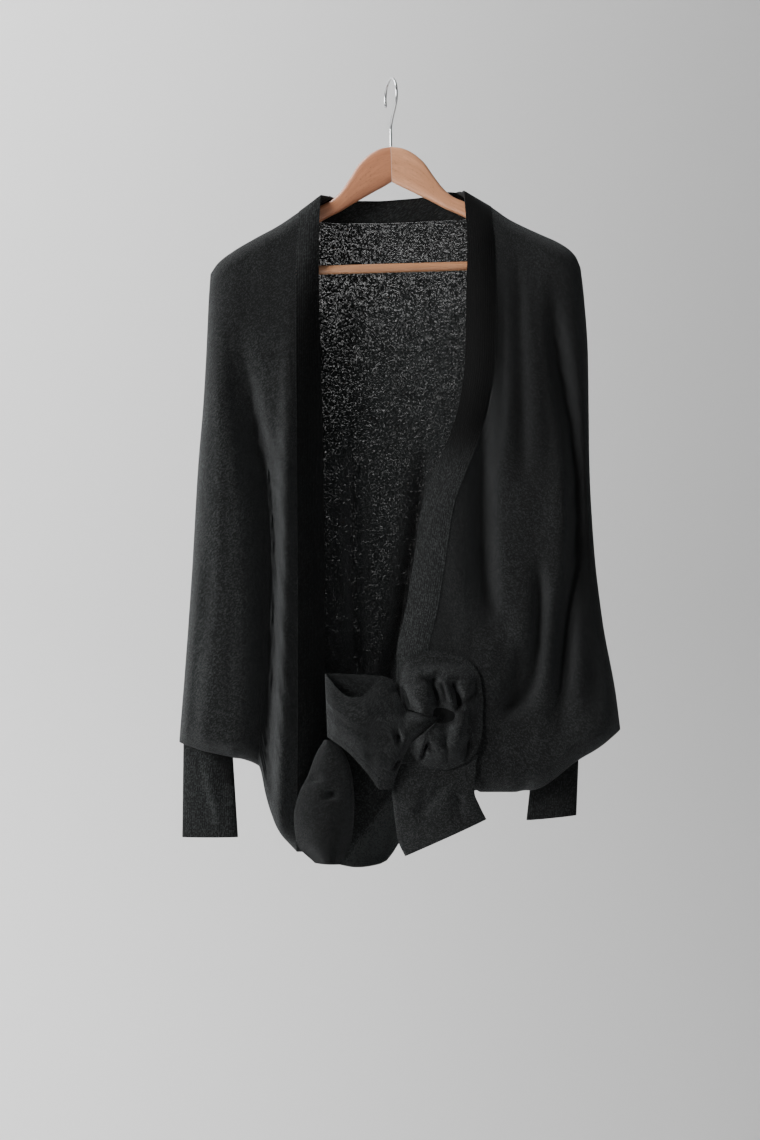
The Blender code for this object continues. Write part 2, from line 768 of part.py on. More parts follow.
def wall(name, grid, normals, thickness, finish, closed=False):
    """A closed wall of cloth on both sides of a grid of points; closed joins the last column to the first."""
    rows, columns = grid.shape[:2]
    outer = (grid + normals * thickness / 2).reshape(-1, 3)
    inner = (grid - normals * thickness / 2).reshape(-1, 3)
    points = np.concatenate([outer, inner])
    middle = grid.reshape(-1, 3)
    back = rows * columns
    wide = columns if closed else columns - 1
    faces = []
    for row in range(rows - 1):
        for column in range(wide):
            after = (column + 1) % columns
            quad = (row * columns + column, row * columns + after,
                    (row + 1) * columns + after, (row + 1) * columns + column)
            for triangle in halves(quad, middle[list(quad)]):
                faces.append(triangle)
                faces.append(tuple(index + back for index in reversed(triangle)))
    for row, turn in ((0, 1), (rows - 1, -1)):
        for column in range(wide):
            after = (column + 1) % columns
            rim = (row * columns + after, row * columns + column,
                   row * columns + column + back, row * columns + after + back)
            faces.extend(halves(rim[::turn], points[list(rim[::turn])]))
    if not closed:
        for column, turn in ((0, 1), (columns - 1, -1)):
            for row in range(rows - 1):
                rim = (row * columns + column, (row + 1) * columns + column,
                       (row + 1) * columns + column + back, row * columns + column + back)
                faces.extend(halves(rim[::turn], points[list(rim[::turn])]))
    return add_mesh(name, points, faces, finish)


def join_hems(side, front, front_normals, back, back_normals, turn):
    """Sets a side's joined lower edges a seam apart and gives them common normals."""
    low = side_plan(side, side.back_hem, side.base)[0][-1]
    for column in range(1, len(SIDE_COLUMNS)):
        if hem_closure(side, low[column]) > JOINED:
            continue
        other = column if turn > 0 else -column - 1
        shared = front_normals[-1, column] + back_normals[-1, other]
        shared /= np.linalg.norm(shared)
        front_normals[-1, column] = shared
        back_normals[-1, other] = shared
        front[-1, column, 1] -= SEAM_GAP / 2
        back[-1, other, 1] += SEAM_GAP / 2


def cuff_grid(cuff):
    """Mid surface of a cuff: flattened rings down its length, last column beside the first."""
    rows = []
    for share in CUFF_ROWS:
        height = cuff.top + (cuff.bottom - cuff.top) * share
        middle = cuff.top_middle + (cuff.bottom_middle - cuff.top_middle) * share
        half = cuff.top_half + (cuff.bottom_half - cuff.top_half) * share
        depth = cuff.depth * (1 + CUFF_SWELL * math.sin(math.pi * share))
        ring = []
        for turn in np.linspace(0, 2 * math.pi, CUFF_SIDES, endpoint=False):
            across = middle + half * math.cos(turn)
            offset = depth * math.copysign(abs(math.sin(turn)) ** 0.8, math.sin(turn))
            tilt = cuff.slant * math.cos(turn) * share
            ring.append((across, cuff.place + offset, height + tilt))
        rows.append(ring)
    return np.array(rows)


def ring_normals(grid):
    """Outward normals of a grid whose last column stands beside its first."""
    wide = np.concatenate([grid[:, -2:], grid, grid[:, :2]], axis=1)
    normal = np.cross(np.gradient(wide, axis=0), np.gradient(wide, axis=1))[:, 2:-2]
    normal /= np.linalg.norm(normal, axis=2)[..., None]
    outward = grid - grid.mean(axis=1, keepdims=True)
    if (normal * outward).sum() < 0:
        normal = -normal
    return normal


def patch_grid(first_edge, second_edge, rows, columns):
    """Across and height of points between two edges, each a line through a few corners."""
    first = along(first_edge, np.linspace(0, 1, rows))
    second = along(second_edge, np.linspace(0, 1, rows))
    share = np.linspace(0, 1, columns)[None, :, None]
    plan = first[:, None] + (second - first)[:, None] * share
    return plan[..., 0], plan[..., 1]


def platform(across, height):
    """Depth of the smooth form that the knot and the right tail lie on."""
    stand = between(DEPTHS, height, 1) + pull(across, height)
    return middle_depth(across, height) - stand - WALL - LAP_GAP


def knot_grid():
    """Mid surface of the knot: a collar of cloth in folds round its pinched middle."""
    angle = np.linspace(KNOT_RIM[0].angle, KNOT_RIM[-1].angle, KNOT_TURNS)[None, :]
    share = np.linspace(0, 1, KNOT_RINGS)[:, None]
    reach = KNOT_PINCH + (between(KNOT_RIM, angle, 1) - KNOT_PINCH) * share
    across = KNOT_AT.across + reach * np.cos(np.radians(angle))
    height = KNOT_AT.height + reach * np.sin(np.radians(angle))
    inner = 1 - (1 - share / KNOT_CREST) ** 2
    outer = np.cos(np.clip((share - KNOT_CREST) / (1 - KNOT_CREST), 0, 1) * math.pi / 2) ** KNOT_FALL
    lap = KNOT_OVER_TAIL * smooth(-angle, *KNOT_TO_TAIL) * share ** KNOT_LAP_EASE
    lap = lap + KNOT_OVER_BAND * smooth(angle, *KNOT_TO_BAND) * share ** KNOT_LAP_EASE
    lift = KNOT_SWELL * np.where(share < KNOT_CREST, inner, outer) + lap
    front = np.maximum(lift - fold_depth(KNOT_FOLDS, across, height), lap)
    roll = KNOT_ROLL * smooth(angle, *KNOT_TO_ROLL) * smooth(share, KNOT_ROLL_FROM, 1.0) ** 2
    flat = platform(across, height)
    seat = front_depth(RIGHT, across, height, np.ones_like(across)) - WALL - LAP_GAP
    seated = smooth(share, *KNOT_SEATED) * (1 - smooth(-angle, *KNOT_TO_TAIL))
    seated = seated * (1 - smooth(angle, *KNOT_TO_BAND))
    return stacked(across, flat + np.minimum(seat - flat, 0.0) * seated - front + roll, height)


def left_tail_grid():
    """Mid surface of the left tail: a loop from the knot out to the tip and back behind itself."""
    columns = []
    for row in TAIL_LOOP:
        share = np.linspace(0, 1, TAIL_ROWS)
        height = row.top + (row.bottom - row.top) * share
        depth = row.depth - row.crown * np.sin(math.pi * share) + row.lean * share
        columns.append(stacked(row.across + row.drift * share, depth, height))
    return np.stack(columns, axis=1)


def right_tail_grid():
    """Mid surface of the right tail, which hangs from under the knot."""
    across, height = patch_grid(RIGHT_TAIL_LEFT, RIGHT_TAIL_RIGHT, *TAIL_GRID)
    over = np.linspace(0, 1, TAIL_GRID[1])[None, :]
    hang = smooth(-height, *TAIL_FROM) * (1 - (1 - TAIL_HEM_SHARE) * smooth(-height, *TAIL_TO_HEM))
    swell = TAIL_SWELL * np.sin(math.pi * over) ** TAIL_EASE
    folds = fold_depth(TAIL_FOLDS, across, height)
    return stacked(across, platform(across, height) + (folds - swell - TAIL_FREE) * hang, height)


def hem_turn_grid():
    """Mid surface of the turned hem corner: a drop shape on the left front's lower end."""
    across, height = patch_grid(TURN_LEFT, TURN_RIGHT, *TURN_GRID)
    down = np.linspace(0, 1, TURN_GRID[0])[:, None]
    over = np.linspace(0, 1, TURN_GRID[1])[None, :]
    arch = np.sin(math.pi * (TURN_ARCH[0] + TURN_ARCH[1] * down))
    tall = TURN_TOP_SHARE + (1 - TURN_TOP_SHARE) * arch
    rim = TURN_RIM + TURN_RIM_EASE * smooth(down, TURN_EASE_FROM, 1.0)
    swell = TURN_SWELL * np.sin(math.pi * over) ** rim * tall
    return stacked(across, TURN_DEPTH - swell + fold_depth(TURN_FOLDS, across, height), height)


def arm_section(reach):
    """Top and bottom of a hanger arm, before the hanger tilts."""
    return between(ARM_ROWS, reach, 1), between(ARM_ROWS, reach, 2)


def tilted(points):
    """Points turned about the foot of the hook, as the hanger hangs."""
    turned = np.array(points, dtype=float)
    x = turned[..., 0].copy()
    z = turned[..., 2] - DOME_TOP
    turned[..., 0] = x * math.cos(HANGER_TILT) - z * math.sin(HANGER_TILT)
    turned[..., 2] = DOME_TOP + x * math.sin(HANGER_TILT) + z * math.cos(HANGER_TILT)
    return turned


def loft(name, rings, finish, sharp=math.radians(40)):
    """A solid through rings of points, closed by a flat cap at each end."""
    count = len(rings[0])
    points = np.concatenate([np.array(ring, dtype=float) for ring in rings])
    faces = []
    for row in range(len(rings) - 1):
        for side in range(count):
            after = (side + 1) % count
            faces.append((row * count + side, row * count + after,
                          (row + 1) * count + after, (row + 1) * count + side))
    faces.append(tuple(range(count))[::-1])
    faces.append(tuple(range((len(rings) - 1) * count, len(rings) * count)))
    return add_mesh(name, points, faces, finish, sharp)


def hanger_arm(name, direction, finish):
    """One arm of the hanger, from its joint in the middle to its rounded end."""
    rings = []
    for reach in ARM_STATIONS:
        top, bottom = arm_section(reach)
        middle = (top + bottom) / 2
        half_high = (top - bottom) / 2
        ring = []
        for turn in np.linspace(0, 2 * math.pi, ARM_RING, endpoint=False) + math.pi / ARM_RING:
            sideways = math.copysign(abs(math.cos(turn)) ** ARM_SQUARE[0], math.cos(turn)) * ARM_THICK / 2
            upward = math.copysign(abs(math.sin(turn)) ** ARM_SQUARE[1], math.sin(turn)) * half_high
            bow = float(middle_depth(reach, 0))
            ring.append((direction * reach, bow + sideways, middle + upward))
        rings.append(tilted(ring))
    return loft(name, rings, finish)


def tube(name, path, radius, sides, finish):
    """A round bar along a path, with flat ends."""
    path = np.array(path, dtype=float)
    ahead = np.gradient(path, axis=0)
    ahead /= np.linalg.norm(ahead, axis=1)[:, None]
    side = np.cross(ahead[0], (0.0, 0.0, 1.0) if abs(ahead[0][2]) < 0.9 else (1.0, 0.0, 0.0))
    rings = []
    for point, direction in zip(path, ahead):
        side = side - direction * np.dot(side, direction)
        side /= np.linalg.norm(side)
        up = np.cross(direction, side)
        turns = np.linspace(0, 2 * math.pi, sides, endpoint=False)
        rings.append([point + radius * (math.cos(turn) * side + math.sin(turn) * up) for turn in turns])
    return loft(name, rings, finish)


def bar_path(half):
    """Centre line of the hanger's bar, to that distance on both sides."""
    place = float(middle_depth(BAR_HALF, 0))
    return tilted([(-half, place, BAR_DROP), (0, place, BAR_DROP), (half, place, BAR_DROP)])


def hook_path():
    """Centre line of the hook: over the rail from behind, round in front and down to the wood."""
    bend = HOOK_INNER + HOOK_WIRE
    flat = []
    for turn in np.radians(np.linspace(*HOOK_CURL, HOOK_STEPS)):
        flat.append((bend * math.cos(turn), HOOK_WIRE - bend + bend * math.sin(turn)))
    flat.extend((out, HOOK_KINK + rise) for out, rise in HOOK_SHANK)
    flat.append((0.0, DOME_TOP + SEAM_GAP))
    return [(out * math.sin(HOOK_TURN), -out * math.cos(HOOK_TURN), height) for out, height in flat]


def main():
    """Builds the garment and its hanger."""
    for old in list(bpy.data.objects):
        bpy.data.objects.remove(old)
    knit = material("knit", (0.016, 0.017, 0.017), 0.95)
    rib = material("rib", (0.014, 0.015, 0.015), 0.95)
    beech = material("beech", (0.62, 0.33, 0.17), 0.45)
    steel = material("steel", (0.62, 0.62, 0.63), 0.22, 1.0)

    left = front_grid(LEFT)
    right = front_grid(RIGHT)
    back = back_grid()
    band_left = band_grid(LEFT, left)
    band_right = band_grid(RIGHT, right)
    neckband = neckband_grid(back)
    normals = {
        "left": normals_of(left, -1),
        "right": normals_of(right, -1),
        "back": normals_of(back, 1),
        "band_left": normals_of(band_left, -1),
        "band_right": normals_of(band_right, -1),
        "neckband": normals_of(neckband, 1),
    }
    wide = len(SIDE_COLUMNS)
    seams = (
        ("left", (slice(None), 0), "back", (slice(None), 0)),
        ("right", (slice(None), 0), "back", (slice(None), -1)),
        ("left", (0, slice(None)), "back", (0, slice(0, wide))),
        ("right", (0, slice(None)), "back", (0, slice(-1, -wide - 1, -1))),
        ("left", (slice(None), -1), "band_left", (slice(None), 0)),
        ("right", (slice(None), -1), "band_right", (slice(None), 0)),
        ("neckband", (-1, slice(None)), "back", (0, slice(wide - 1, wide + len(MIDDLE_COLUMNS) + 1))),
        ("neckband", (slice(None, None, -1), 0), "band_left", (0, slice(None))),
        ("neckband", (slice(None, None, -1), -1), "band_right", (0, slice(None))),
    )
    for first, first_edge, second, second_edge in seams:
        shared = share_normals(normals[first][first_edge], normals[second][second_edge])
        normals[first][first_edge] = shared
        normals[second][second_edge] = shared
    corners = (
        (("left", (0, -1)), ("back", (0, wide - 1)), ("band_left", (0, 0)), ("neckband", (-1, 0))),
        (("right", (0, -1)), ("back", (0, -wide)), ("band_right", (0, 0)), ("neckband", (-1, -1))),
    )
    for corner in corners:
        shared = sum(normals[name][spot] for name, spot in corner)
        for name, spot in corner:
            normals[name][spot] = shared / np.linalg.norm(shared)
    join_hems(LEFT, left, normals["left"], back, normals["back"], 1)
    join_hems(RIGHT, right, normals["right"], back, normals["back"], -1)
    for name, key, grid in (("front_left", "left", left), ("front_right", "right", right)):
        wall(name, draw_back(grid, ("first", "top", "last")), normals[key], WALL, knit)
    wall("back", draw_back(back, ("first", "top", "last")), normals["back"], WALL, knit)
    for name, grid in (("band_left", band_left), ("band_right", band_right)):
        wall(name, draw_back(grid, ("first", "top"), BAND_GAP), normals[name], BAND_WALL, rib)
    drawn = draw_back(neckband, ("first", "last", "bottom"), BAND_GAP)
    wall("neckband_back", drawn, normals["neckband"], BAND_WALL, rib)
    for name, cuff in (("cuff_left", LEFT_CUFF), ("cuff_right", RIGHT_CUFF)):
        grid = cuff_grid(cuff)
        wall(name, grid, ring_normals(grid), WALL, rib, closed=True)
    for name, grid in (("knot", knot_grid()), ("tail_left", left_tail_grid()),
                       ("tail_right", right_tail_grid()), ("hem_turn", hem_turn_grid())):
        wall(name, grid, normals_of(grid, -1), WALL, knit)
    arms = (hanger_arm("hanger_arm_left", -1, beech), hanger_arm("hanger_arm_right", 1, beech))
    tube("hanger_bar", bar_path(BAR_HALF), BAR_RADIUS, BAR_SIDES, beech)
    socket = tube("bar_socket", bar_path(BAR_HALF + SEAM_GAP), BAR_RADIUS + SEAM_GAP, BAR_SIDES, beech)
    socket.hide_render = True
    socket.display_type = "WIRE"
    for arm in arms:
        cut = arm.modifiers.new("Bar socket", "BOOLEAN")
        cut.operation = "DIFFERENCE"
        cut.object = socket
    tube("hook", hook_path(), HOOK_WIRE, 8, steel)


main()
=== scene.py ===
import logging
import math
from dataclasses import dataclass
from enum import Enum
from functools import partial
from typing import Any, Callable, Iterable, NamedTuple, Optional, Sequence, Union

import bmesh
import bpy
import numpy as np
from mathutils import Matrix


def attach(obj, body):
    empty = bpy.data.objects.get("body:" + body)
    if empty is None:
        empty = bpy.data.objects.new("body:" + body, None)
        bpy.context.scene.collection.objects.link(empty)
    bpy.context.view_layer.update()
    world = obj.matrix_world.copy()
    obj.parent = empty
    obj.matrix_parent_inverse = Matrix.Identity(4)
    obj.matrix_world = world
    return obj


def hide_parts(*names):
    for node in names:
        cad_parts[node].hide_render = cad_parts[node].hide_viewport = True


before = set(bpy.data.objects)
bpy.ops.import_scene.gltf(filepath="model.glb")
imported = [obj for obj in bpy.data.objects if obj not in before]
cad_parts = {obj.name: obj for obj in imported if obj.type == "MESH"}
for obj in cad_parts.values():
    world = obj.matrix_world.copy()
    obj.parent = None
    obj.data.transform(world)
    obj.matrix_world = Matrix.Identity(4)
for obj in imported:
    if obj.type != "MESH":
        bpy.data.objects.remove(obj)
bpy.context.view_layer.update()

MM = 0.001
SEED = 11
# Points read along a fold's path, and the shares of it over which the fold begins and ends
PATH_STEPS = 61
FOLD_BEGINS = 0.28
FOLD_ENDS = 0.22
# The low waves between the folds: how many, their ranges in millimetres, and their heights
WAVES = 9
WAVE_LONG = (120, 420)
WAVE_WIDE = (22, 70)
WAVE_LEAN = 0.25
LEAN_REACH = 12
WAVE_TURN = 6.28
FRONT_WAVE = 1.5
BACK_WAVE = 1.6
# A seam's shared normal shorter than this is a corner's
CORNER_NORMAL = 0.1
# Least sizes that are divided by, and a distance past any other
LEAST_AREA = 1e-12
LEAST_LENGTH = 1e-9
FAR = 1e18
Number = Union[int, float]
Grid = np.ndarray
log = logging.getLogger("cardigan")


# ---- Tables ----


class Hold(Enum):
    """How a sheet is held."""

    HUNG = "hung"
    GATHERED = "gathered"


class Limit(NamedTuple):
    """Where the cloth ends to one side, by height."""

    height: float
    across: float


class Edge(NamedTuple):
    """A front's seam with its band, and the band's free edge, by height."""

    height: float
    seam: float
    free: float
    free_depth: float


class Corner(NamedTuple):
    """A point of an outline in the plane of the front."""

    across: float
    height: float


class Fold(NamedTuple):
    """A soft trough (depth over 0) or ridge (under 0) along a path, with the reach of each flank."""

    depth: float
    left: float
    right: float
    path: tuple


class Depth(NamedTuple):
    """How far the fronts and the back stand off the middle of the cloth, by height."""

    height: float
    front: float
    back: float


class BandRow(NamedTuple):
    """A stretch of the back neck's band: its seam and its free edge."""

    seam_across: float
    seam_height: float
    free_across: float
    free_height: float


class Rim(NamedTuple):
    """The knot's reach from its pinched middle, by angle in degrees from the right."""

    angle: float
    reach: float


class Loop(NamedTuple):
    """A section of the left tail's loop: its edges, and how it swells and leans."""

    across: float
    depth: float
    top: float
    bottom: float
    crown: float
    lean: float
    drift: float


class ArmRow(NamedTuple):
    """Top and bottom of a hanger arm by distance from the middle."""

    reach: float
    top: float
    bottom: float


@dataclass(frozen=True)
class Cut:
    """A sheet's cut: its flat width and length in metres, its flat area, what it rests on and how."""

    width: float
    length: float
    area: Optional[float]
    rests_on: tuple[str, ...]
    held: Hold = Hold.HUNG


def table(kind: type, *rows: tuple) -> tuple:
    """A table of rows of one kind."""
    return tuple(kind(*row) for row in rows)


# Shares across a side and across the back's middle, and down the garment; closer where the cloth bends
SIDE_COLUMNS = (0, 0.008, 0.032, 0.075, 0.14, 0.22, 0.31, 0.4, 0.49, 0.57, 0.645, 0.715, 0.785, 0.855,
                0.925, 1)
MIDDLE_COLUMNS = (0.007, 0.018, 0.04, 0.08, 0.15, 0.24, 0.34, 0.45, 0.56, 0.67, 0.77, 0.86, 0.925, 0.96,
                  0.982, 0.993)
ROWS = (0, 0.0022, 0.008, 0.017, 0.031, 0.06, 0.1, 0.15, 0.2, 0.255, 0.31, 0.37, 0.43, 0.49, 0.55, 0.61,
        0.67, 0.73, 0.79, 0.85, 0.9, 0.943, 0.976, 1)

# The cloth's outer fold on each side
LEFT_OUTLINE = table(Limit, (-235, -214.5), (-264, -216.5), (-330, -219.5), (-390, -223), (-462, -229),
                     (-588, -236.5), (-700, -244.5), (-792, -252))
RIGHT_OUTLINE = table(Limit, (-228, 225.5), (-264, 229.5), (-330, 234), (-462, 236), (-560, 241.5),
                      (-650, 252), (-732, 267), (-777, 273))

# The shoulder line on each side, from the neck to the outer fold
LEFT_SHOULDER = table(Corner, (-109, -159.5), (-133, -176.5), (-161, -192.5), (-186, -207.5), (-205, -222),
                      (-214.5, -235))
RIGHT_SHOULDER = table(Corner, (118, -153.5), (140, -169.3), (175, -186.2), (204, -200.5), (219, -213.6),
                       (225.5, -228))

# The lower edge on each side, from the outer fold to the seam with the band
LEFT_HEM = table(Corner, (-252, -793), (-223, -803), (-188, -811), (-158, -822), (-149, -856), (-133, -897),
                 (-112, -922))
RIGHT_HEM = table(Corner, (273, -778), (247, -799), (224, -813), (176, -848), (162, -851), (107, -851),
                  (84, -826), (44, -760))
RIGHT_BACK_HEM = (*RIGHT_HEM[:5], Corner(107, -852))

# The back's lower edge between the two sides
BACK_HEM = table(Corner, (-112, -922), (-77, -938), (-40, -946), (-10, -941), (16, -908), (50, -877),
                 (84, -857), (107, -852))

# The fronts' seams with their bands
LEFT_EDGE = table(Edge, (-140, -109, -74, -4), (-165, -109.5, -84, -19), (-204, -112, -86, -24),
                  (-264, -113, -86.5, -18), (-336, -113, -84.5, -11), (-456, -112, -82, -8),
                  (-600, -111, -80, -8), (-750, -111, -80, -11), (-925, -112, -84, -18))
RIGHT_EDGE = table(Edge, (-135, 118, 84, -4), (-165, 120, 88, -22), (-204, 124, 91, -29),
                   (-264, 125, 90, -28), (-336, 124, 89, -24), (-384, 118, 83, -20), (-432, 105, 69, -16),
                   (-474, 88, 50, -14), (-516, 74, 37, -14), (-576, 65, 28, -18), (-636, 55, 18, -26),
                   (-690, 44, 7, -34), (-760, 44, 7, -38))

# Where the back's right side ends and its middle begins
RIGHT_BASE = table(Limit, (-153.5, 118), (-300, 118), (-600, 112), (-852, 107))

DEPTHS = table(Depth, (-140, 13, 13), (-190, 18, 16), (-264, 25, 21), (-400, 30, 25), (-600, 34, 27),
               (-760, 38, 27), (-950, 38, 24))

BACK_BAND = table(BandRow, (-109, -159.5, -73.5, -141), (-105, -160.5, -71.5, -139.5),
                  (-98, -165, -65, -139.5), (-86, -169, -55, -141.5), (-60, -170.5, -38, -143.5),
                  (-25, -170.5, -16, -143.5), (10, -169.5, 8, -142), (45, -168, 32, -140),
                  (80, -166.5, 56, -136.5), (102, -163, 70, -133), (113.5, -155, 80.5, -134),
                  (118, -153.5, 84, -136))

# Main folds of the panels, as the solids have them
LEFT_FOLDS = (
    Fold(25, 24, 11, ((-190, -276), (-174, -348), (-159, -420), (-146, -492), (-141, -576), (-143, -696),
                      (-148, -800), (-150, -900))),
    Fold(-13, 9, 12, ((-121, -240), (-123, -384), (-125, -504), (-127, -624), (-128, -744), (-131, -900),
                      (-132, -990))),
    Fold(5, 8, 12, ((-214, -540), (-220, -636), (-228, -710), (-236, -800), (-238, -850))),
)
RIGHT_FOLDS = (
    Fold(14, 15, 14, ((111, -300), (109, -420), (108, -504), (110, -576), (117, -636), (126, -690))),
    Fold(20, 12, 14, ((186, -225), (194, -300), (205, -372), (214, -432), (220, -504), (218, -576),
                      (210, -648), (203, -720), (198, -800))),
    Fold(11, 14, 16, ((236, -500), (238, -600), (240, -680), (240, -780))),
    Fold(11, 9, 9, ((172, -560), (177, -624), (175, -672), (169, -714), (152, -746), (118, -768))),
    Fold(9, 12, 10, ((156, -670), (148, -726), (132, -764))),
    Fold(4, 9, 9, ((148, -190), (152, -264), (154, -384), (156, -500))),
)
BACK_FOLDS = (
    Fold(13, 10, 10, ((-42, -400), (-44, -528), (-43, -624), (-40, -740), (-38, -800))),
    Fold(13, 12, 10, ((44, -400), (36, -500), (28, -560), (16, -640), (0, -730), (-8, -800))),
    Fold(-9, 22, 22, ((-84, -360), (-88, -520), (-86, -700), (-80, -960))),
    Fold(-12, 20, 24, ((-176, -250), (-164, -420), (-150, -600), (-146, -900))),
    Fold(-13, 22, 20, ((188, -240), (178, -420), (172, -600), (170, -860))),
    Fold(-9, 20, 20, ((96, -280), (100, -460), (92, -640), (80, -900))),
    Fold(8, 14, 14, ((-120, -300), (-122, -500), (-116, -700), (-112, -980))),
    Fold(9, 14, 14, ((140, -300), (138, -500), (134, -700), (132, -900))),
)

# The knot, the tails and the turned corner of the hem
KNOT_RIM = table(Rim, (-140, 50), (-124, 58), (-107, 61), (-90, 62), (-71, 61), (-48, 59), (-27, 53),
                 (2, 49), (31, 57), (51, 69), (67, 75), (84, 78), (103, 80), (119, 80), (134, 70),
                 (149, 57), (166, 46))
KNOT_FOLDS = (
    Fold(16, 9, 8, ((44, -757), (60, -758), (80, -761))),
    Fold(13, 6, 8, ((57, -750), (53, -734), (50, -718), (47, -708))),
    Fold(14, 5, 7, ((81, -756), (79, -740), (73, -724), (70, -714))),
    Fold(6, 6, 9, ((91, -728), (91, -750), (89, -780), (86, -808))),
    Fold(14, 9, 9, ((37, -797), (44, -799))),
    Fold(7, 8, 6, ((38, -756), (26, -748), (16, -736), (12, -724))),
    Fold(6, 6, 7, ((62, -768), (65, -784), (62, -800))),
    Fold(4, 5, 6, ((86, -746), (98, -730), (104, -716))),
    Fold(3, 9, 7, ((20, -708), (44, -699), (70, -698), (92, -707))),
)
TAIL_LOOP = table(Loop, (53.6, -53, -761.6, -764.6, 0, 0, 0), (46, -55, -760.6, -771, 4, 0, 0),
                  (35, -57, -757.8, -779.6, 8, 0, 0), (26, -57.5, -755.6, -786.8, 9, 0, 0),
                  (17, -57, -752.8, -804, 10, 0, -1), (8.5, -57, -735, -828, 10, 0, -2),
                  (1, -58, -719, -846, 9, 0, -3), (-9, -60.5, -713, -846, 8, 1, -4),
                  (-17, -63, -718, -836, 8, 3, -4), (-25, -66, -729, -826, 7, 4, -3.5),
                  (-34, -68, -736, -816, 7, 5, -3), (-47, -69, -737, -803, 6, 5, -2),
                  (-60, -67, -730, -794, 5, 4, 0), (-71, -64, -717, -788, 4, 4, 2),
                  (-77, -60, -711, -784, 2, 2, 3), (-76, -56, -710, -780, 0, 0, 4),
                  (-66, -53, -710, -776, 0, 0, 4), (-48, -50.5, -711, -776, 0, 0, 0),
                  (-28, -48.5, -712, -776, 0, 0, 0), (-10, -47.5, -714, -776, 0, 0, 0),
                  (3, -47, -718, -776, 0, 0, 0))
RIGHT_TAIL_LEFT = table(Corner, (-2, -818), (1, -845), (5, -880), (9, -908), (17, -926))
RIGHT_TAIL_RIGHT = table(Corner, (102, -806), (99, -832), (98, -850), (104, -866), (112, -882))
TAIL_FOLDS = (
    Fold(5, 8, 8, ((66, -830), (54, -850), (42, -866), (30, -884))),
    Fold(4, 10, 8, ((88, -816), (84, -840), (80, -864), (84, -890))),
)
TURN_LEFT = table(Corner, (-78, -789), (-88, -806), (-98, -832), (-108, -852), (-114, -880), (-110, -912),
                  (-90, -934))
TURN_RIGHT = table(Corner, (-69, -788), (-54, -808), (-46, -836), (-44, -866), (-46, -900), (-52, -922),
                   (-60, -936))
TURN_FOLDS = (
    Fold(8, 8, 8, ((-71, -844), (-69, -860))),
    Fold(4, 8, 8, ((-91, -828), (-88, -840))),
)

# The hanger's arms
ARM_ROWS = table(ArmRow, (0, -80.4, -122.4), (10, -81.6, -128), (21, -85.6, -133.5), (38, -99, -142.5),
                 (51, -118, -149.5), (62, -133, -156), (74, -143.5, -161.5), (90, -150.6, -170),
                 (112, -160.3, -182), (133, -173.4, -196), (150, -182.8, -208.5), (161, -188.5, -231),
                 (186, -202.4, -238), (199, -211.6, -235), (207, -220.5, -228.5))
ARM_STATIONS = (0.15, 10, 21, 30, 38, 45, 51, 57, 62, 68, 74, 90, 112, 133, 147, 154, 161, 174, 186, 195, 201,
                205, 207)

# Finer creases, in the scene alone
CREASES = (
    Fold(1.6, 5, 7, ((-196, -250), (-190, -330), (-182, -420), (-176, -520))),
    Fold(-1.6, 6, 6, ((-206, -300), (-203, -420), (-202, -520), (-206, -640))),
    Fold(1.2, 6, 6, ((-180, -560), (-186, -640), (-190, -720), (-190, -780))),
    Fold(1.5, 7, 5, ((132, -200), (134, -300), (132, -400), (128, -480))),
    Fold(1.6, 6, 7, ((168, -230), (176, -320), (184, -400), (190, -470))),
    Fold(-1.8, 7, 7, ((196, -330), (206, -440), (209, -540), (203, -640))),
    Fold(1.5, 5, 6, ((222, -420), (228, -520), (230, -620), (228, -720))),
    Fold(2.0, 5, 6, ((90, -560), (94, -620), (96, -670), (90, -705))),
    Fold(1.8, 5, 5, ((142, -620), (136, -670), (124, -706), (108, -724))),
)

# How open the back's knit shows, by height
SHEER = ((-860, 0), (-760, 0.2), (-624, 0.34), (-504, 0.4), (-384, 0.44), (-290, 0.51), (-245, 0.62),
         (-180, 0.62))
# Painted shade of a piece by height, from 0 for none to 1 for black; under 0 is painted light
NO_PAINTED_SHADE = ((-900, 0), (-150, 0))
PAINTED_SHADE_BY_HEIGHT = {
    "front_left": ((-900, -0.12), (-400, -0.2), (-250, 0.06), (-150, 0.1)),
    "front_right": ((-900, 0.15), (-700, 0.12), (-520, 0.22), (-400, 0.48), (-260, 0.4), (-150, 0.15)),
    "band_left": ((-950, 0.4), (-330, 0.58), (-280, 0.62), (-230, 0.4), (-150, 0.2)),
    "band_right": ((-740, 0.1), (-480, 0.3), (-400, 0.88), (-150, 0.8)),
    "neckband_back": ((-180, 0.3), (-150, 0.3)),
    "cuff_left": ((-910, 0.1), (-780, 0.1)),
    "cuff_right": ((-910, 0.38), (-780, 0.38)),
    "hem_turn": ((-940, 0.45), (-780, 0.25)),
}
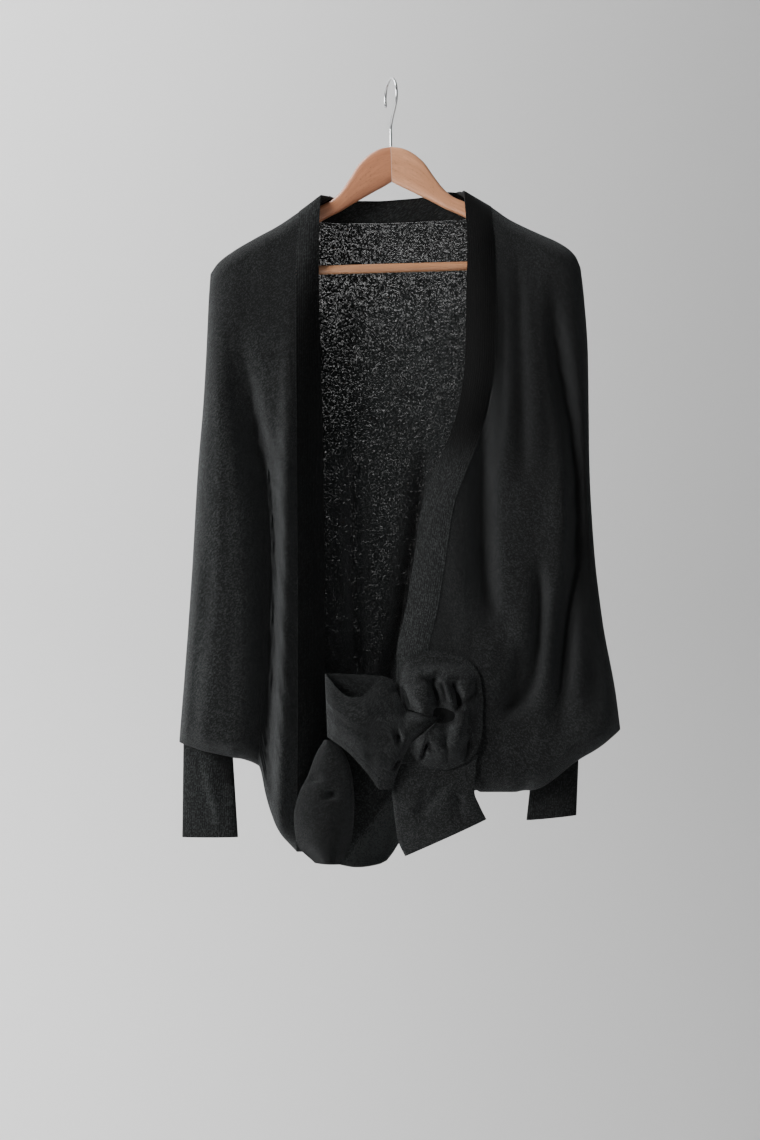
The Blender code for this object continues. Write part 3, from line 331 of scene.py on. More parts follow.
# Painted shade in troughs and creases, painted highlights on ridges and a painted shadow on the back by the
# right front's free edge, as folds whose depth is the shade
PAINTED_FOLD_SHADES = {
    # Painted highlight on a ridge of the left front, and painted shade beside it, in a trough and towards the
    # band's seam
    "front_left": (
        Fold(-0.35, 4, 4, ((-224, -600), (-226, -672), (-231, -786))),
        Fold(0.3, 9, 5, ((-240, -600), (-242, -690), (-247, -790))),
        Fold(0.2, 8, 8, ((-134, -500), (-132, -640), (-134, -760))),
        Fold(0.45, 22, 4, ((-112, -170), (-112, -500), (-111, -880))),
    ),
    # Painted shade in a trough of the right front and towards its band
    "front_right": (
        Fold(0.75, 6, 6, ((101, -380), (104, -440), (109, -530), (112, -590), (119, -655))),
        Fold(0.2, 4, 16, ((88, -180), (125, -300), (105, -432))),
    ),
    # Painted shadow of the right front's free edge on the back
    "back": (Fold(0.85, 7, 8, ((36, -430), (34, -470), (28, -528), (17, -612), (4, -690))),),
    # Painted highlight along the cuff's ridge, and painted shade beside it
    "cuff_left": (
        Fold(-0.6, 4, 4, ((-229, -806), (-216, -850), (-204, -905))),
        Fold(0.6, 8, 10, ((-216, -800), (-200, -815), (-190, -850))),
    ),
}
KNOT_CREASES = (
    Fold(4.5, 4, 4, ((32, -710), (47, -725), (56, -740))),
    Fold(4.5, 4, 3, ((59, -715), (64, -732), (67, -746))),
    Fold(5.5, 4, 5, ((78, -728), (80, -748), (76, -774))),
    Fold(5.0, 4, 5, ((45, -788), (47, -802))),
    Fold(3.0, 3, 3, ((92, -780), (90, -800), (86, -816))),
    Fold(2.0, 3, 3, ((62, -782), (66, -800), (66, -818))),
)
TAIL_CREASES = (
    Fold(9.0, 8, 7, ((3, -785), (13, -782))),
    Fold(7.0, 6, 6, ((3, -815), (8, -818))),
    Fold(5.0, 6, 6, ((4, -724), (9, -731))),
    Fold(3.0, 7, 6, ((34, -762), (16, -758), (-6, -756), (-30, -760))),
    Fold(2.4, 6, 6, ((-2, -796), (-18, -804), (-32, -806))),
)
SKIRT_CREASES = (
    Fold(2.0, 4, 4, ((44, -822), (40, -850), (28, -880))),
    Fold(1.8, 4, 4, ((62, -826), (74, -850), (90, -868))),
)


# ---- Curves, folds and grids ----


def between(rows: Sequence[Sequence[float]], at: Any, column: int) -> Any:
    """Smooth value of a table's column, with no overshoot.

    Args:
        rows: The table, with the place in its first column.
        at: Places to read.
        column: The column to read.

    Returns:
        The values at those places.
    """
    places = np.array([row[0] for row in rows], dtype=float)
    values = np.array([row[column] for row in rows], dtype=float)
    if places[0] > places[-1]:
        places, values = places[::-1], values[::-1]
    at = np.clip(np.asarray(at, dtype=float), places[0], places[-1])
    steps = np.diff(places)
    slopes = np.diff(values) / steps
    tangents = np.zeros(len(places))
    same = slopes[:-1] * slopes[1:] > 0
    safe = np.where(same, slopes[:-1] + slopes[1:], 1.0)
    tangents[1:-1] = np.where(same, 2 * slopes[:-1] * slopes[1:] / safe, 0.0)
    tangents[0], tangents[-1] = slopes[0], slopes[-1]
    spot = np.clip(np.searchsorted(places, at, side="right") - 1, 0, len(steps) - 1)
    step = steps[spot]
    t = (at - places[spot]) / step
    rise = values[spot] * (1 + 2 * t) * (1 - t) ** 2 + values[spot + 1] * t * t * (3 - 2 * t)
    return rise + step * (tangents[spot] * t * (1 - t) ** 2 - tangents[spot + 1] * t * t * (1 - t))


def along(points: Sequence[Sequence[float]], share: Any) -> Grid:
    """Smooth points along a line through a few points.

    Args:
        points: The line's points.
        share: Shares of its length.

    Returns:
        A point for each share.
    """
    line = np.array(points, dtype=float)
    gaps = np.linalg.norm(np.diff(line, axis=0), axis=1)
    places = np.concatenate([[0.0], np.cumsum(gaps)]) / gaps.sum()
    rows = [(place, *point) for place, point in zip(places, line)]
    return np.stack([between(rows, share, column + 1) for column in range(line.shape[1])], axis=-1)


def stacked(across: Grid, depth: Grid, height: Grid) -> Grid:
    """Points from their across, depth and height."""
    return np.stack(np.broadcast_arrays(across, depth, height), axis=-1).astype(float)


def smooth(value: Any, low: float, high: float) -> Grid:
    """Eased step from 0 at low to 1 at high."""
    t = np.clip((np.asarray(value, dtype=float) - low) / (high - low), 0.0, 1.0)
    return t * t * (3 - 2 * t)


def rounded(distance: Any, reach: float) -> Grid:
    """Quarter ellipse: 0 at a fold, and 1 from its reach on."""
    t = np.clip(np.asarray(distance, dtype=float) / reach, 0.0, 1.0)
    return np.sqrt(np.clip(1 - (1 - t) ** 2, 0.0, 1.0))


def refined(shares: Sequence[float], count: int) -> Grid:
    """More shares between the given ones, spaced as they are."""
    spots = np.linspace(0, len(shares) - 1, count)
    return np.interp(spots, np.arange(len(shares)), shares)


def fold_depth(folds: Iterable[Fold], across: Grid, height: Grid) -> Grid:
    """Sum of the folds' depths at points of the cloth.

    Args:
        folds: The folds; each tapers towards the ends of its path.
        across: Places across, in millimetres.
        height: Places in height, in millimetres.

    Returns:
        The depth at each place, in millimetres.
    """
    total = np.zeros_like(across)
    for fold in folds:
        path = along(fold.path, np.linspace(0, 1, PATH_STEPS))
        nearest = np.zeros(across.shape, dtype=int)
        least = np.full(across.shape, FAR)
        for index, (x, z) in enumerate(path):
            square = (across - x) ** 2 + (height - z) ** 2
            closer = square < least
            nearest[closer] = index
            least[closer] = square[closer]
        reach = np.where(across > path[nearest, 0], fold.right, fold.left)
        share = nearest / (len(path) - 1)
        taper = smooth(share, 0.0, FOLD_BEGINS) * smooth(1 - share, 0.0, FOLD_ENDS)
        total += fold.depth * taper * np.exp(-least / reach ** 2)
    return total


def painted_shade_at(name: str, grid: Grid) -> Grid:
    """Painted shade of a piece's cloth at the points of its grid.

    Args:
        name: The piece's node.
        grid: Its mid surface.

    Returns:
        The painted shade, from 0 for none to 1 for black; under 0 is painted light.
    """
    across, height = grid[..., 0], grid[..., 2]
    # Painted shade by height, with painted shade and painted light along folds added
    tone = between(PAINTED_SHADE_BY_HEIGHT.get(name, NO_PAINTED_SHADE), height, 1)
    return tone + fold_depth(PAINTED_FOLD_SHADES.get(name, ()), across, height)


def ripple(across: Grid, height: Grid, size: float, seed: int) -> Grid:
    """Low uneven waves, as cloth has between its folds; the draws come in a fixed order.

    Args:
        across: Places across, in millimetres.
        height: Places in height, in millimetres.
        size: Largest height of the waves, in millimetres.
        seed: Which waves.

    Returns:
        The waves' height.
    """
    random = np.random.default_rng(seed)
    total = np.zeros(np.broadcast(across, height).shape)
    for _ in range(WAVES):
        long, wide = random.uniform(*WAVE_LONG), random.uniform(*WAVE_WIDE)
        lean, phase = random.uniform(-WAVE_LEAN, WAVE_LEAN), random.uniform(0, WAVE_TURN)
        sway = phase + np.sin(height * WAVE_TURN / long + phase)
        total += np.sin(across * WAVE_TURN / wide + lean * height / LEAN_REACH + sway)
    return total * size / WAVES


def normals_of(grid: Grid, outward_y: float) -> Grid:
    """Unit normals of a grid of points.

    Args:
        grid: The points.
        outward_y: The side on which they stand: over 0 for the back, under 0 for the front.

    Returns:
        A normal for each point.
    """
    normal = np.cross(np.gradient(grid, axis=0), np.gradient(grid, axis=1))
    size = np.linalg.norm(normal, axis=2)[..., None]
    normal = normal / np.where(size < LEAST_AREA, 1.0, size)
    middle = normal[normal.shape[0] // 2, normal.shape[1] // 2]
    return -normal if middle[1] * outward_y < 0 else normal


def ring_normals(grid: Grid) -> Grid:
    """Outward unit normals of a tube.

    Args:
        grid: Its points, the last column beside the first.

    Returns:
        A normal for each point.
    """
    wide = np.concatenate([grid[:, -2:], grid, grid[:, :2]], axis=1)
    normal = np.cross(np.gradient(wide, axis=0), np.gradient(wide, axis=1))[:, 2:-2]
    normal = normal / np.linalg.norm(normal, axis=2)[..., None]
    outward = grid - grid.mean(axis=1, keepdims=True)
    return -normal if (normal * outward).sum() < 0 else normal


def share_normals(first: Grid, second: Grid) -> Grid:
    """The common normals of two edges that meet in a seam; a corner takes its neighbour's.

    Args:
        first: Normals along one edge.
        second: Normals along the other.

    Returns:
        The normals for both.
    """
    mean = first + second
    mean[np.linalg.norm(mean, axis=-1) < CORNER_NORMAL] = mean[1]
    return mean / np.linalg.norm(mean, axis=-1)[..., None]


def draw_back(grid: Grid, edges: Sequence[str], distance: float) -> Grid:
    """The grid with some edges moved in from their seams.

    Args:
        grid: The points.
        edges: The edges' names: top, first, last or bottom.
        distance: How far they move, in millimetres.

    Returns:
        A moved copy.
    """
    moved = grid.copy()
    pairs = {
        "top": ((0, slice(None)), (1, slice(None))),
        "first": ((slice(None), 0), (slice(None), 1)),
        "last": ((slice(None), -1), (slice(None), -2)),
        "bottom": ((-1, slice(None)), (-2, slice(None))),
    }
    for edge in edges:
        rim, inside = pairs[edge]
        step = grid[inside] - grid[rim]
        length = np.linalg.norm(step, axis=-1)[..., None]
        moved[rim] += step / np.maximum(length, LEAST_LENGTH) * distance
    return moved


# ---- Cloth as meshes ----


def quads(rows: int, columns: int, closed: bool) -> Iterable[tuple[int, ...]]:
    """Goes over the faces of a grid of points.

    Args:
        rows: The grid's rows.
        columns: Its columns.
        closed: Whether the last column meets the first.

    Yields:
        The corners of each face.
    """
    for row in range(rows - 1):
        for column in range(columns if closed else columns - 1):
            after = (column + 1) % columns
            yield (row * columns + column, row * columns + after,
                   (row + 1) * columns + after, (row + 1) * columns + column)


def woven_lengths(grid: Grid) -> tuple[Grid, Grid]:
    """Distances along a grid's rows and columns, for the knit's own coordinates.

    Args:
        grid: The points, in millimetres.

    Returns:
        The distances across and down, in metres.
    """
    over = np.linalg.norm(np.diff(grid, axis=1), axis=2)
    down = np.linalg.norm(np.diff(grid, axis=0), axis=2)
    rows, columns = grid.shape[:2]
    u = np.concatenate([np.zeros((rows, 1)), np.cumsum(over, axis=1)], axis=1)
    v = np.concatenate([np.zeros((1, columns)), np.cumsum(down, axis=0)], axis=0)
    return u * MM, v * MM


@dataclass
class Cloth:
    """A wall of cloth on both sides of a grid of points, ready to be given a finish.

    A closed one is a tube. The knit's coordinates follow the cloth, or the plane where planar is set.
    """

    name: str
    grid: Grid
    normals: Grid
    thickness: Any = 1.8
    closed: bool = False
    # Painted shade at each point, and painted light where under 0
    shade: Optional[Grid] = None
    sheer: Optional[Grid] = None
    planar: bool = False

    SHARP_FROM = 70

    def faces(self) -> list[tuple[int, ...]]:
        """Sets out the faces of the outer and the inner side and of the rims.

        Returns:
            The corners of each face.
        """
        rows, columns = self.grid.shape[:2]
        back = rows * columns
        wide = columns if self.closed else columns - 1
        made: list[tuple[int, ...]] = []
        for quad in quads(rows, columns, self.closed):
            made += [quad, tuple(index + back for index in reversed(quad))]
        for row, turn in ((0, 1), (rows - 1, -1)):
            for column in range(wide):
                after = (column + 1) % columns
                rim = (row * columns + after, row * columns + column,
                       row * columns + column + back, row * columns + after + back)
                made.append(rim[::turn])
        if not self.closed:
            for column, turn in ((0, 1), (columns - 1, -1)):
                for row in range(rows - 1):
                    rim = (row * columns + column, (row + 1) * columns + column,
                           (row + 1) * columns + column + back, row * columns + column + back)
                    made.append(rim[::turn])
        return made

    def build(self) -> bpy.types.Object:
        """Makes the mesh with the knit's coordinates, its painted shade and light, and its sheerness.

        Returns:
            The object, with no finish yet.
        """
        half = self.normals * np.broadcast_to(self.thickness, self.grid.shape[:2])[..., None] / 2
        points = np.concatenate([(self.grid + half).reshape(-1, 3), (self.grid - half).reshape(-1, 3)])
        made = mesh_object(self.name, points, self.faces(), crease=self.SHARP_FROM)
        plane = self.grid[..., 0] * MM, self.grid[..., 2] * MM
        u, v = plane if self.planar else woven_lengths(self.grid)
        both = np.tile(np.stack([u, v], axis=-1).reshape(-1, 2), (2, 1))
        add_map(made, "weave", both)
        # The shade attribute carries painted shade and painted light, which the finishes put into the yarn's
        # colour
        for name, values in (("shade", self.shade), ("sheer", self.sheer)):
            flat = np.zeros(self.grid.shape[:2]) if values is None else values
            attribute = made.data.attributes.new(name, "FLOAT", "POINT")
            attribute.data.foreach_set("value", np.tile(flat.ravel(), 2).astype(np.float32))
        return made


def placed(name: str, data: Any) -> bpy.types.Object:
    """An object with the given data, linked to the scene."""
    made = bpy.data.objects.new(name, data)
    bpy.context.collection.objects.link(made)
    return made


def add_map(piece: bpy.types.Object, name: str, places: Grid) -> None:
    """Gives a piece a map.

    Args:
        piece: The piece.
        name: The map's name.
        places: A place on the map for each point, in metres.
    """
    layer = piece.data.uv_layers.new(name=name)
    corners = np.empty(len(piece.data.loops), dtype=np.int32)
    piece.data.loops.foreach_get("vertex_index", corners)
    layer.data.foreach_set("uv", places[corners].ravel())


def mesh_object(name: str, points: Grid, faces: Sequence[tuple[int, ...]],
                crease: float) -> bpy.types.Object:
    """An object from points in millimetres and its faces.

    Args:
        name: The object's name.
        points: The points, in millimetres.
        faces: Corners of each face.
        crease: Angle in degrees from which an edge is sharp.

    Returns:
        The object, linked to the scene.
    """
    mesh = bpy.data.meshes.new(name)
    mesh.from_pydata((np.asarray(points, dtype=float) * MM).tolist(), [], faces)
    work = bmesh.new()
    work.from_mesh(mesh)
    bmesh.ops.recalc_face_normals(work, faces=work.faces)
    work.to_mesh(mesh)
    work.free()
    mesh.shade_smooth()
    mesh.set_sharp_from_angle(angle=math.radians(crease))
    return placed(name, mesh)


def finished(piece: bpy.types.Object, finish: bpy.types.Material, slot: str, *nodes: str) -> bpy.types.Object:
    """Gives a piece its finish and its place in the frame.

    Args:
        piece: The piece.
        finish: Its material.
        slot: Not used.
        nodes: The frame's nodes that it stands for.

    Returns:
        The same piece.
    """
    piece.data.materials.clear()
    piece.data.materials.append(finish)
    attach(piece, "root")
    if nodes:
        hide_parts(*nodes)
    log.info("%s: %d faces", piece.name, len(piece.data.polygons))
    return piece


# ---- Shader maths ----


def add_node(tree: bpy.types.NodeTree, kind: str, settings: dict[str, Any],
             inputs: dict[Union[str, int], Any]) -> bpy.types.Node:
    """Adds a node to a tree.

    Args:
        tree: The tree.
        kind: The node's type.
        settings: Its properties.
        inputs: Values or other nodes' sockets, by the name or number of its own sockets.

    Returns:
        The node.
    """
    made = tree.nodes.new(kind)
    for name, value in settings.items():
        setattr(made, name, value)
    for name, value in inputs.items():
        if isinstance(value, bpy.types.NodeSocket):
            tree.links.new(value, made.inputs[name])
        else:
            made.inputs[name].default_value = value
    return made


def operator(operation: str, turned: bool = False) -> Callable[["Wire", "Value"], "Wire"]:
    """Makes a wire's method for an operator.

    Args:
        operation: The Math node's operation.
        turned: Whether the wire stands on the right of the operator.

    Returns:
        The method, which adds the node.
    """
    def method(wire: "Wire", other: "Value") -> "Wire":
        """The operation's result."""
        pair = (other, wire) if turned else (wire, other)
        return wire.graph.maths(operation, *pair)
    return method


class Wire:
    """A value of a node tree that takes part in expressions."""

    def __init__(self, graph: "Graph", socket: bpy.types.NodeSocket) -> None:
        """Wraps a node's output socket."""
        self.graph = graph
        self.socket = socket

    __add__, __radd__ = operator("ADD"), operator("ADD", turned=True)
    __sub__, __rsub__ = operator("SUBTRACT"), operator("SUBTRACT", turned=True)
    __mul__, __rmul__ = operator("MULTIPLY"), operator("MULTIPLY", turned=True)
    __truediv__, __rtruediv__ = operator("DIVIDE"), operator("DIVIDE", turned=True)
    __pow__ = operator("POWER")

    def above(self, low: Number, high: Number) -> "Wire":
        """Eased step from 0 at low to 1 at high."""
        return self.graph.node("ShaderNodeMapRange", {"interpolation_type": "SMOOTHSTEP"},
                               {"Value": self, "From Min": low, "From Max": high})["Result"]


Value = Union[Wire, Number]


class Outputs:
    """A node's outputs by name, as wires."""

    def __init__(self, graph: "Graph", node: bpy.types.Node) -> None:
        """Wraps a node."""
        self.graph = graph
        self.made = node

    def __getitem__(self, name: Union[str, int]) -> Wire:
        """The output of that name or number."""
        return Wire(self.graph, self.made.outputs[name])


class Graph:
    """A material's node tree, built from expressions."""

    def __init__(self, name: str) -> None:
        """Makes an empty material with an output."""
        self.material = bpy.data.materials.new(name)
        self.material.use_nodes = True
        self.tree = self.material.node_tree
        self.tree.nodes.clear()
        self.output = self.tree.nodes.new("ShaderNodeOutputMaterial")

    def node(self, kind: str, settings: dict[str, Any], inputs: dict[Union[str, int], Any]) -> Outputs:
        """Adds a node.

        Args:
            kind: The node's type.
            settings: Its properties.
            inputs: Values or wires by the socket's name or number.

        Returns:
            Its outputs.
        """
        given = {name: value.socket if isinstance(value, Wire) else value for name, value in inputs.items()}
        return Outputs(self, add_node(self.tree, kind, settings, given))

    def maths(self, operation: str, *values: Value) -> Wire:
        """A Math node on values or wires."""
        return self.node("ShaderNodeMath", {"operation": operation}, dict(enumerate(values)))["Value"]

    def mixed(self, factor: Value, first: Any, second: Any) -> Wire:
        """A mix of two colours, each a wire or red, green and blue."""
        pair = [colour if isinstance(colour, Wire) else (*colour, 1.0) for colour in (first, second)]
        return self.node("ShaderNodeMix", {"data_type": "RGBA"}, {0: factor, 6: pair[0], 7: pair[1]})[2]

    def dimmed(self, colour: Wire, level: Wire) -> Wire:
        """A colour times a level."""
        inputs = {0: colour, "Scale": level}
        return self.node("ShaderNodeVectorMath", {"operation": "SCALE"}, inputs)["Vector"]

    def noise(self, place: Wire, scale: Number, detail: Number = 2.0, rough: Number = 0.5) -> Wire:
        """Smooth noise at a place."""
        inputs = {"Vector": place, "Scale": scale, "Detail": detail, "Roughness": rough}
        return self.node("ShaderNodeTexNoise", {}, inputs)["Fac"]

    def stretched(self, place: Wire, scale: tuple[float, float, float]) -> Wire:
        """A place scaled along its axes."""
        return self.node("ShaderNodeMapping", {}, {"Vector": place, "Scale": scale})["Vector"]

    def mapped(self, name: str) -> Wire:
        """A place on one of the piece's own maps."""
        return self.node("ShaderNodeUVMap", {"uv_map": name}, {})["UV"]

    def attribute(self, name: str) -> Wire:
        """A value that the piece's points carry."""
        return self.node("ShaderNodeAttribute", {"attribute_name": name}, {})["Fac"]

    def split(self, place: Wire) -> Outputs:
        """The parts X, Y and Z of a place."""
        return self.node("ShaderNodeSeparateXYZ", {}, {0: place})

    def cell(self, across: Wire, down: Wire) -> Outputs:
        """A random value and colour for each whole step across and down."""
        steps = {0: self.maths("FLOOR", across), 1: self.maths("FLOOR", down)}
        place = self.node("ShaderNodeCombineXYZ", {}, steps)["Vector"]
        return self.node("ShaderNodeTexWhiteNoise", {"noise_dimensions": "2D"}, {"Vector": place})

    def bump(self, height: Wire, distance: float, strength: float) -> Wire:
        """The normal of a relief."""
        inputs = {"Strength": strength, "Distance": distance, "Height": height}
        return self.node("ShaderNodeBump", {}, inputs)["Normal"]

    def surface(self, inputs: dict[Union[str, int], Any]) -> Wire:
        """A surface from its base colour and other inputs."""
        return self.node("ShaderNodeBsdfPrincipled", {}, inputs)["BSDF"]

    def finish(self, surface: Wire) -> bpy.types.Material:
        """Connects the surface and returns the material."""
        self.tree.links.new(surface.socket, self.output.inputs["Surface"])
        return self.material


# ---- Finishes ----


BLACK = (0.0, 0.0, 0.0)
# How dark matt yarn takes the light
YARN = {"Roughness": 0.95, "Sheen Roughness": 0.45, "Sheen Tint": (0.75, 0.78, 0.8, 1.0),
        "Specular IOR Level": 0.18}


@dataclass(frozen=True)
class KnitFinish:
    """A fine, matt knit: loops in wales and courses, dark yarn with lighter fibres, and small holes.

    Sizes are in metres. The level says how light the yarn is, and adds up from its parts; the piece's painted
    shade scales it down, and painted light up.
    """

    name: str
    colour: tuple[float, float, float]
    holes: float = 0.0
    wale: float = 0.0014
    course: float = 0.0012
    relief: float = 0.0007
    strength: float = 0.9
    wobble_scale: float = 90.0
    wobble: tuple[float, float] = (0.5, 0.4)
    bulge: float = 0.55
    fuzz_scale: float = 900.0
    fuzz_from: tuple[float, float] = (0.5, 0.72)
    fuzz_relief: float = 0.6
    patch_scale: float = 16.0
    patch: tuple[float, float] = (0.75, 0.5)
    level: float = 0.25
    yarn_level: float = 0.35
    fuzz_level: float = 0.45
    loop_level: float = 1.26
    top_level: float = 3.0
    top_colour: float = 3.6
    sheen: float = 0.16
    streak_scale: tuple[float, float, float] = (36.0, 380.0, 1.0)
    streak: tuple[float, float] = (1.4, 0.3)
    hole_from: tuple[float, float] = (1.0, 1.6)

    def build(self) -> bpy.types.Material:
        """Makes the material.

        Returns:
            The material; it reads the piece's weave map, its shade attribute of painted shade and light, and
            its sheer attribute.
        """
        graph = Graph(self.name)
        weave = graph.mapped("weave")
        split = graph.split(weave)
        wobble = graph.noise(weave, self.wobble_scale) - 0.5
        across = split["X"] / self.wale + wobble * self.wobble[0]
        side = graph.maths("ABSOLUTE", graph.maths("FRACT", across) - 0.5) * 2.0
        down = split["Y"] / self.course + side * self.bulge + wobble * self.wobble[1]
        arch = graph.maths("SINE", graph.maths("FRACT", down) * math.pi)
        yarn = arch * (1.0 - side ** 3.0)
        fuzz = graph.noise(weave, self.fuzz_scale, 2.0, 0.7)
        loop = graph.cell(across, down)
        level = self.level + yarn * self.yarn_level + fuzz.above(*self.fuzz_from) * self.fuzz_level
        level = level + loop["Value"] ** 2.0 * self.loop_level
        level = level * (self.patch[0] + graph.noise(weave, self.patch_scale, 3.0) * self.patch[1])
        # Painted shade darkens the yarn by the shade attribute, and painted light lightens it where that is
        # under 0
        level = level * (1.0 - graph.attribute("shade"))
        bright = tuple(self.top_colour * part for part in self.colour)
        inputs: dict[Union[str, int], Any] = {
            **YARN, "Base Color": graph.mixed(level.above(0.0, self.top_level), BLACK, bright),
            "Normal": graph.bump(yarn + fuzz * self.fuzz_relief, self.relief, self.strength),
            "Sheen Weight": self.sheen,
        }
        if self.holes:
            streak = graph.noise(graph.stretched(weave, self.streak_scale), 1.0)
            open_share = graph.attribute("sheer") * (streak * self.streak[0] + self.streak[1])
            wide = graph.split(loop["Color"])["Y"] + open_share
            inputs["Alpha"] = 1.0 - wide.above(*self.hole_from) * arch * self.holes
        return graph.finish(graph.surface(inputs))


@dataclass(frozen=True)
class RibFinish:
    """A narrow rib knit: ridges that run down the piece, in matt dark yarn. Sizes are in metres."""

    name: str
    colour: tuple[float, float, float]
    rib: float = 0.0026
    course: float = 0.0017
    relief: float = 0.00025
    strength: float = 0.9
    wobble_scale: float = 60.0
    wobble: float = 1.2
    bulge: float = 0.4
    arch: tuple[float, float] = (0.7, 0.3)
    fuzz_scale: float = 800.0
    fuzz_from: tuple[float, float] = (0.5, 0.74)
    fuzz_relief: float = 0.4
    level: float = 0.45
    yarn_level: float = 0.3
    fuzz_level: float = 0.6
    top_level: float = 2.2
    top_colour: float = 3.0
    sheen: float = 0.1

    def build(self) -> bpy.types.Material:
        """Makes the material.

        Returns:
            The material; it reads the piece's weave map and its shade attribute of painted shade and light.
        """
        graph = Graph(self.name)
        weave = graph.mapped("weave")
        split = graph.split(weave)
        wobble = graph.noise(weave, self.wobble_scale) - 0.5
        ridge = graph.maths("SINE", split["X"] * (2 * math.pi / self.rib) + wobble * self.wobble) * 0.5 + 0.5
        down = split["Y"] / self.course
        loop = graph.maths("FRACT", down + ridge * self.bulge)
        yarn = ridge ** 0.6 * (self.arch[0] + graph.maths("SINE", loop * math.pi) * self.arch[1])
        fuzz = graph.noise(weave, self.fuzz_scale, 3.0, 0.7)
        stitch = graph.cell(split["X"] / (self.rib * 0.5), down)["Value"]
        level = self.level + yarn * self.yarn_level + fuzz.above(*self.fuzz_from) * self.fuzz_level
        # Painted shade darkens the rib by the shade attribute, and painted light lightens it where that is
        # under 0
        level = (level + stitch ** 2.0) * (1.0 - graph.attribute("shade"))
        bright = tuple(self.top_colour * part for part in self.colour)
        return graph.finish(graph.surface({
            **YARN, "Base Color": graph.mixed(level.above(0.0, self.top_level), BLACK, bright),
            "Normal": graph.bump(yarn + fuzz * self.fuzz_relief, self.relief, self.strength),
            "Sheen Weight": self.sheen,
        }))


@dataclass(frozen=True)
class BeechFinish:
    """Varnished beech whose grain follows the piece, with fine dark flecks.

    The scales are steps a metre along and round the piece.
    """

    name: str
    light: tuple[float, float, float]
    dark: tuple[float, float, float]
    band_scale: tuple[float, float, float] = (9.0, 120.0, 1.0)
    fine_scale: tuple[float, float, float] = (60.0, 1400.0, 1.0)
    fleck_scale: tuple[float, float, float] = (300.0, 1500.0, 1.0)
    fleck_from: tuple[float, float] = (0.62, 0.72)
    fleck_share: float = 0.35
    fleck_dark: float = 0.45
    relief: float = 0.0002
    strength: float = 0.25
    roughness: tuple[float, float] = (0.32, 0.16)
    varnish: float = 0.35

    def build(self) -> bpy.types.Material:
        """Makes the material.

        Returns:
            The material; it reads the piece's grain map, in metres along and round.
        """
        graph = Graph(self.name)
        grain = graph.mapped("grain")
        bands = graph.noise(graph.stretched(grain, self.band_scale), 1.0, 4.0, 0.6)
        fine = graph.noise(graph.stretched(grain, self.fine_scale), 1.0, 3.0, 0.7)
        fleck = graph.noise(graph.stretched(grain, self.fleck_scale), 1.0, 1.0).above(*self.fleck_from)
        tone = graph.mixed(bands.above(0.3, 0.7), self.light, self.dark)
        share = (fine.above(0.35, 0.8) + fleck) * self.fleck_share
        worn = graph.mixed(share, tone, tuple(self.fleck_dark * part for part in self.dark))
        return graph.finish(graph.surface({
            "Base Color": worn, "Roughness": self.roughness[0] + fine * self.roughness[1],
            "Normal": graph.bump(fine + bands, self.relief, self.strength),
            "Coat Weight": self.varnish, "Coat Roughness": 0.2, "Specular IOR Level": 0.5,
        }))


@dataclass(frozen=True)
class SteelFinish:
    """Bright plated wire with a faint haze."""

    name: str
    colour: tuple[float, float, float]
    haze_scale: float = 160.0
    relief: float = 0.0001
    strength: float = 0.15
    roughness: tuple[float, float] = (0.16, 0.14)

    def build(self) -> bpy.types.Material:
        """Makes the material.

        Returns:
            The material, on object coordinates.
        """
        graph = Graph(self.name)
        place = graph.node("ShaderNodeTexCoord", {}, {})["Object"]
        haze = graph.noise(place, self.haze_scale, 3.0)
        return graph.finish(graph.surface({
            "Base Color": (*self.colour, 1.0), "Metallic": 1.0,
            "Roughness": self.roughness[0] + haze * self.roughness[1],
            "Normal": graph.bump(haze, self.relief, self.strength),
        }))


@dataclass(frozen=True)
class PaintFinish:
    """Matt paint of the setting with painted shade that darkens it towards the right; from behind it lets the
    light through.
    """

    name: str
    colour: tuple[float, float, float]
    cloud_scale: float = 1.3
    cloud_dark: float = 0.98
    painted_shade_span: tuple[float, float] = (-1.2, 1.0)
    # Painted shade: how much darker the paint gets towards the right
    fall: float = 0.42
    roughness: float = 0.9
    gloss: float = 0.1

    def build(self) -> bpy.types.Material:
        """Makes the material.

        Returns:
            The material, on object coordinates.
        """
        graph = Graph(self.name)
        place = graph.node("ShaderNodeTexCoord", {}, {})["Object"]
        cloud = graph.noise(place, self.cloud_scale, 3.0)
        colour = graph.mixed(cloud, tuple(self.cloud_dark * part for part in self.colour), self.colour)
        # Painted shade across the wall, darker towards the right
        fall = graph.split(place)["X"].above(*self.painted_shade_span) * self.fall
        paint = graph.surface({"Base Color": graph.dimmed(colour, 1.0 - fall), "Roughness": self.roughness,
                               "Specular IOR Level": self.gloss})
        behind = graph.node("ShaderNodeNewGeometry", {}, {})["Backfacing"]
        clear = graph.node("ShaderNodeBsdfTransparent", {}, {})["BSDF"]
        return graph.finish(graph.node("ShaderNodeMixShader", {}, {0: behind, 1: paint, 2: clear})[0])


# ---- The garment ----


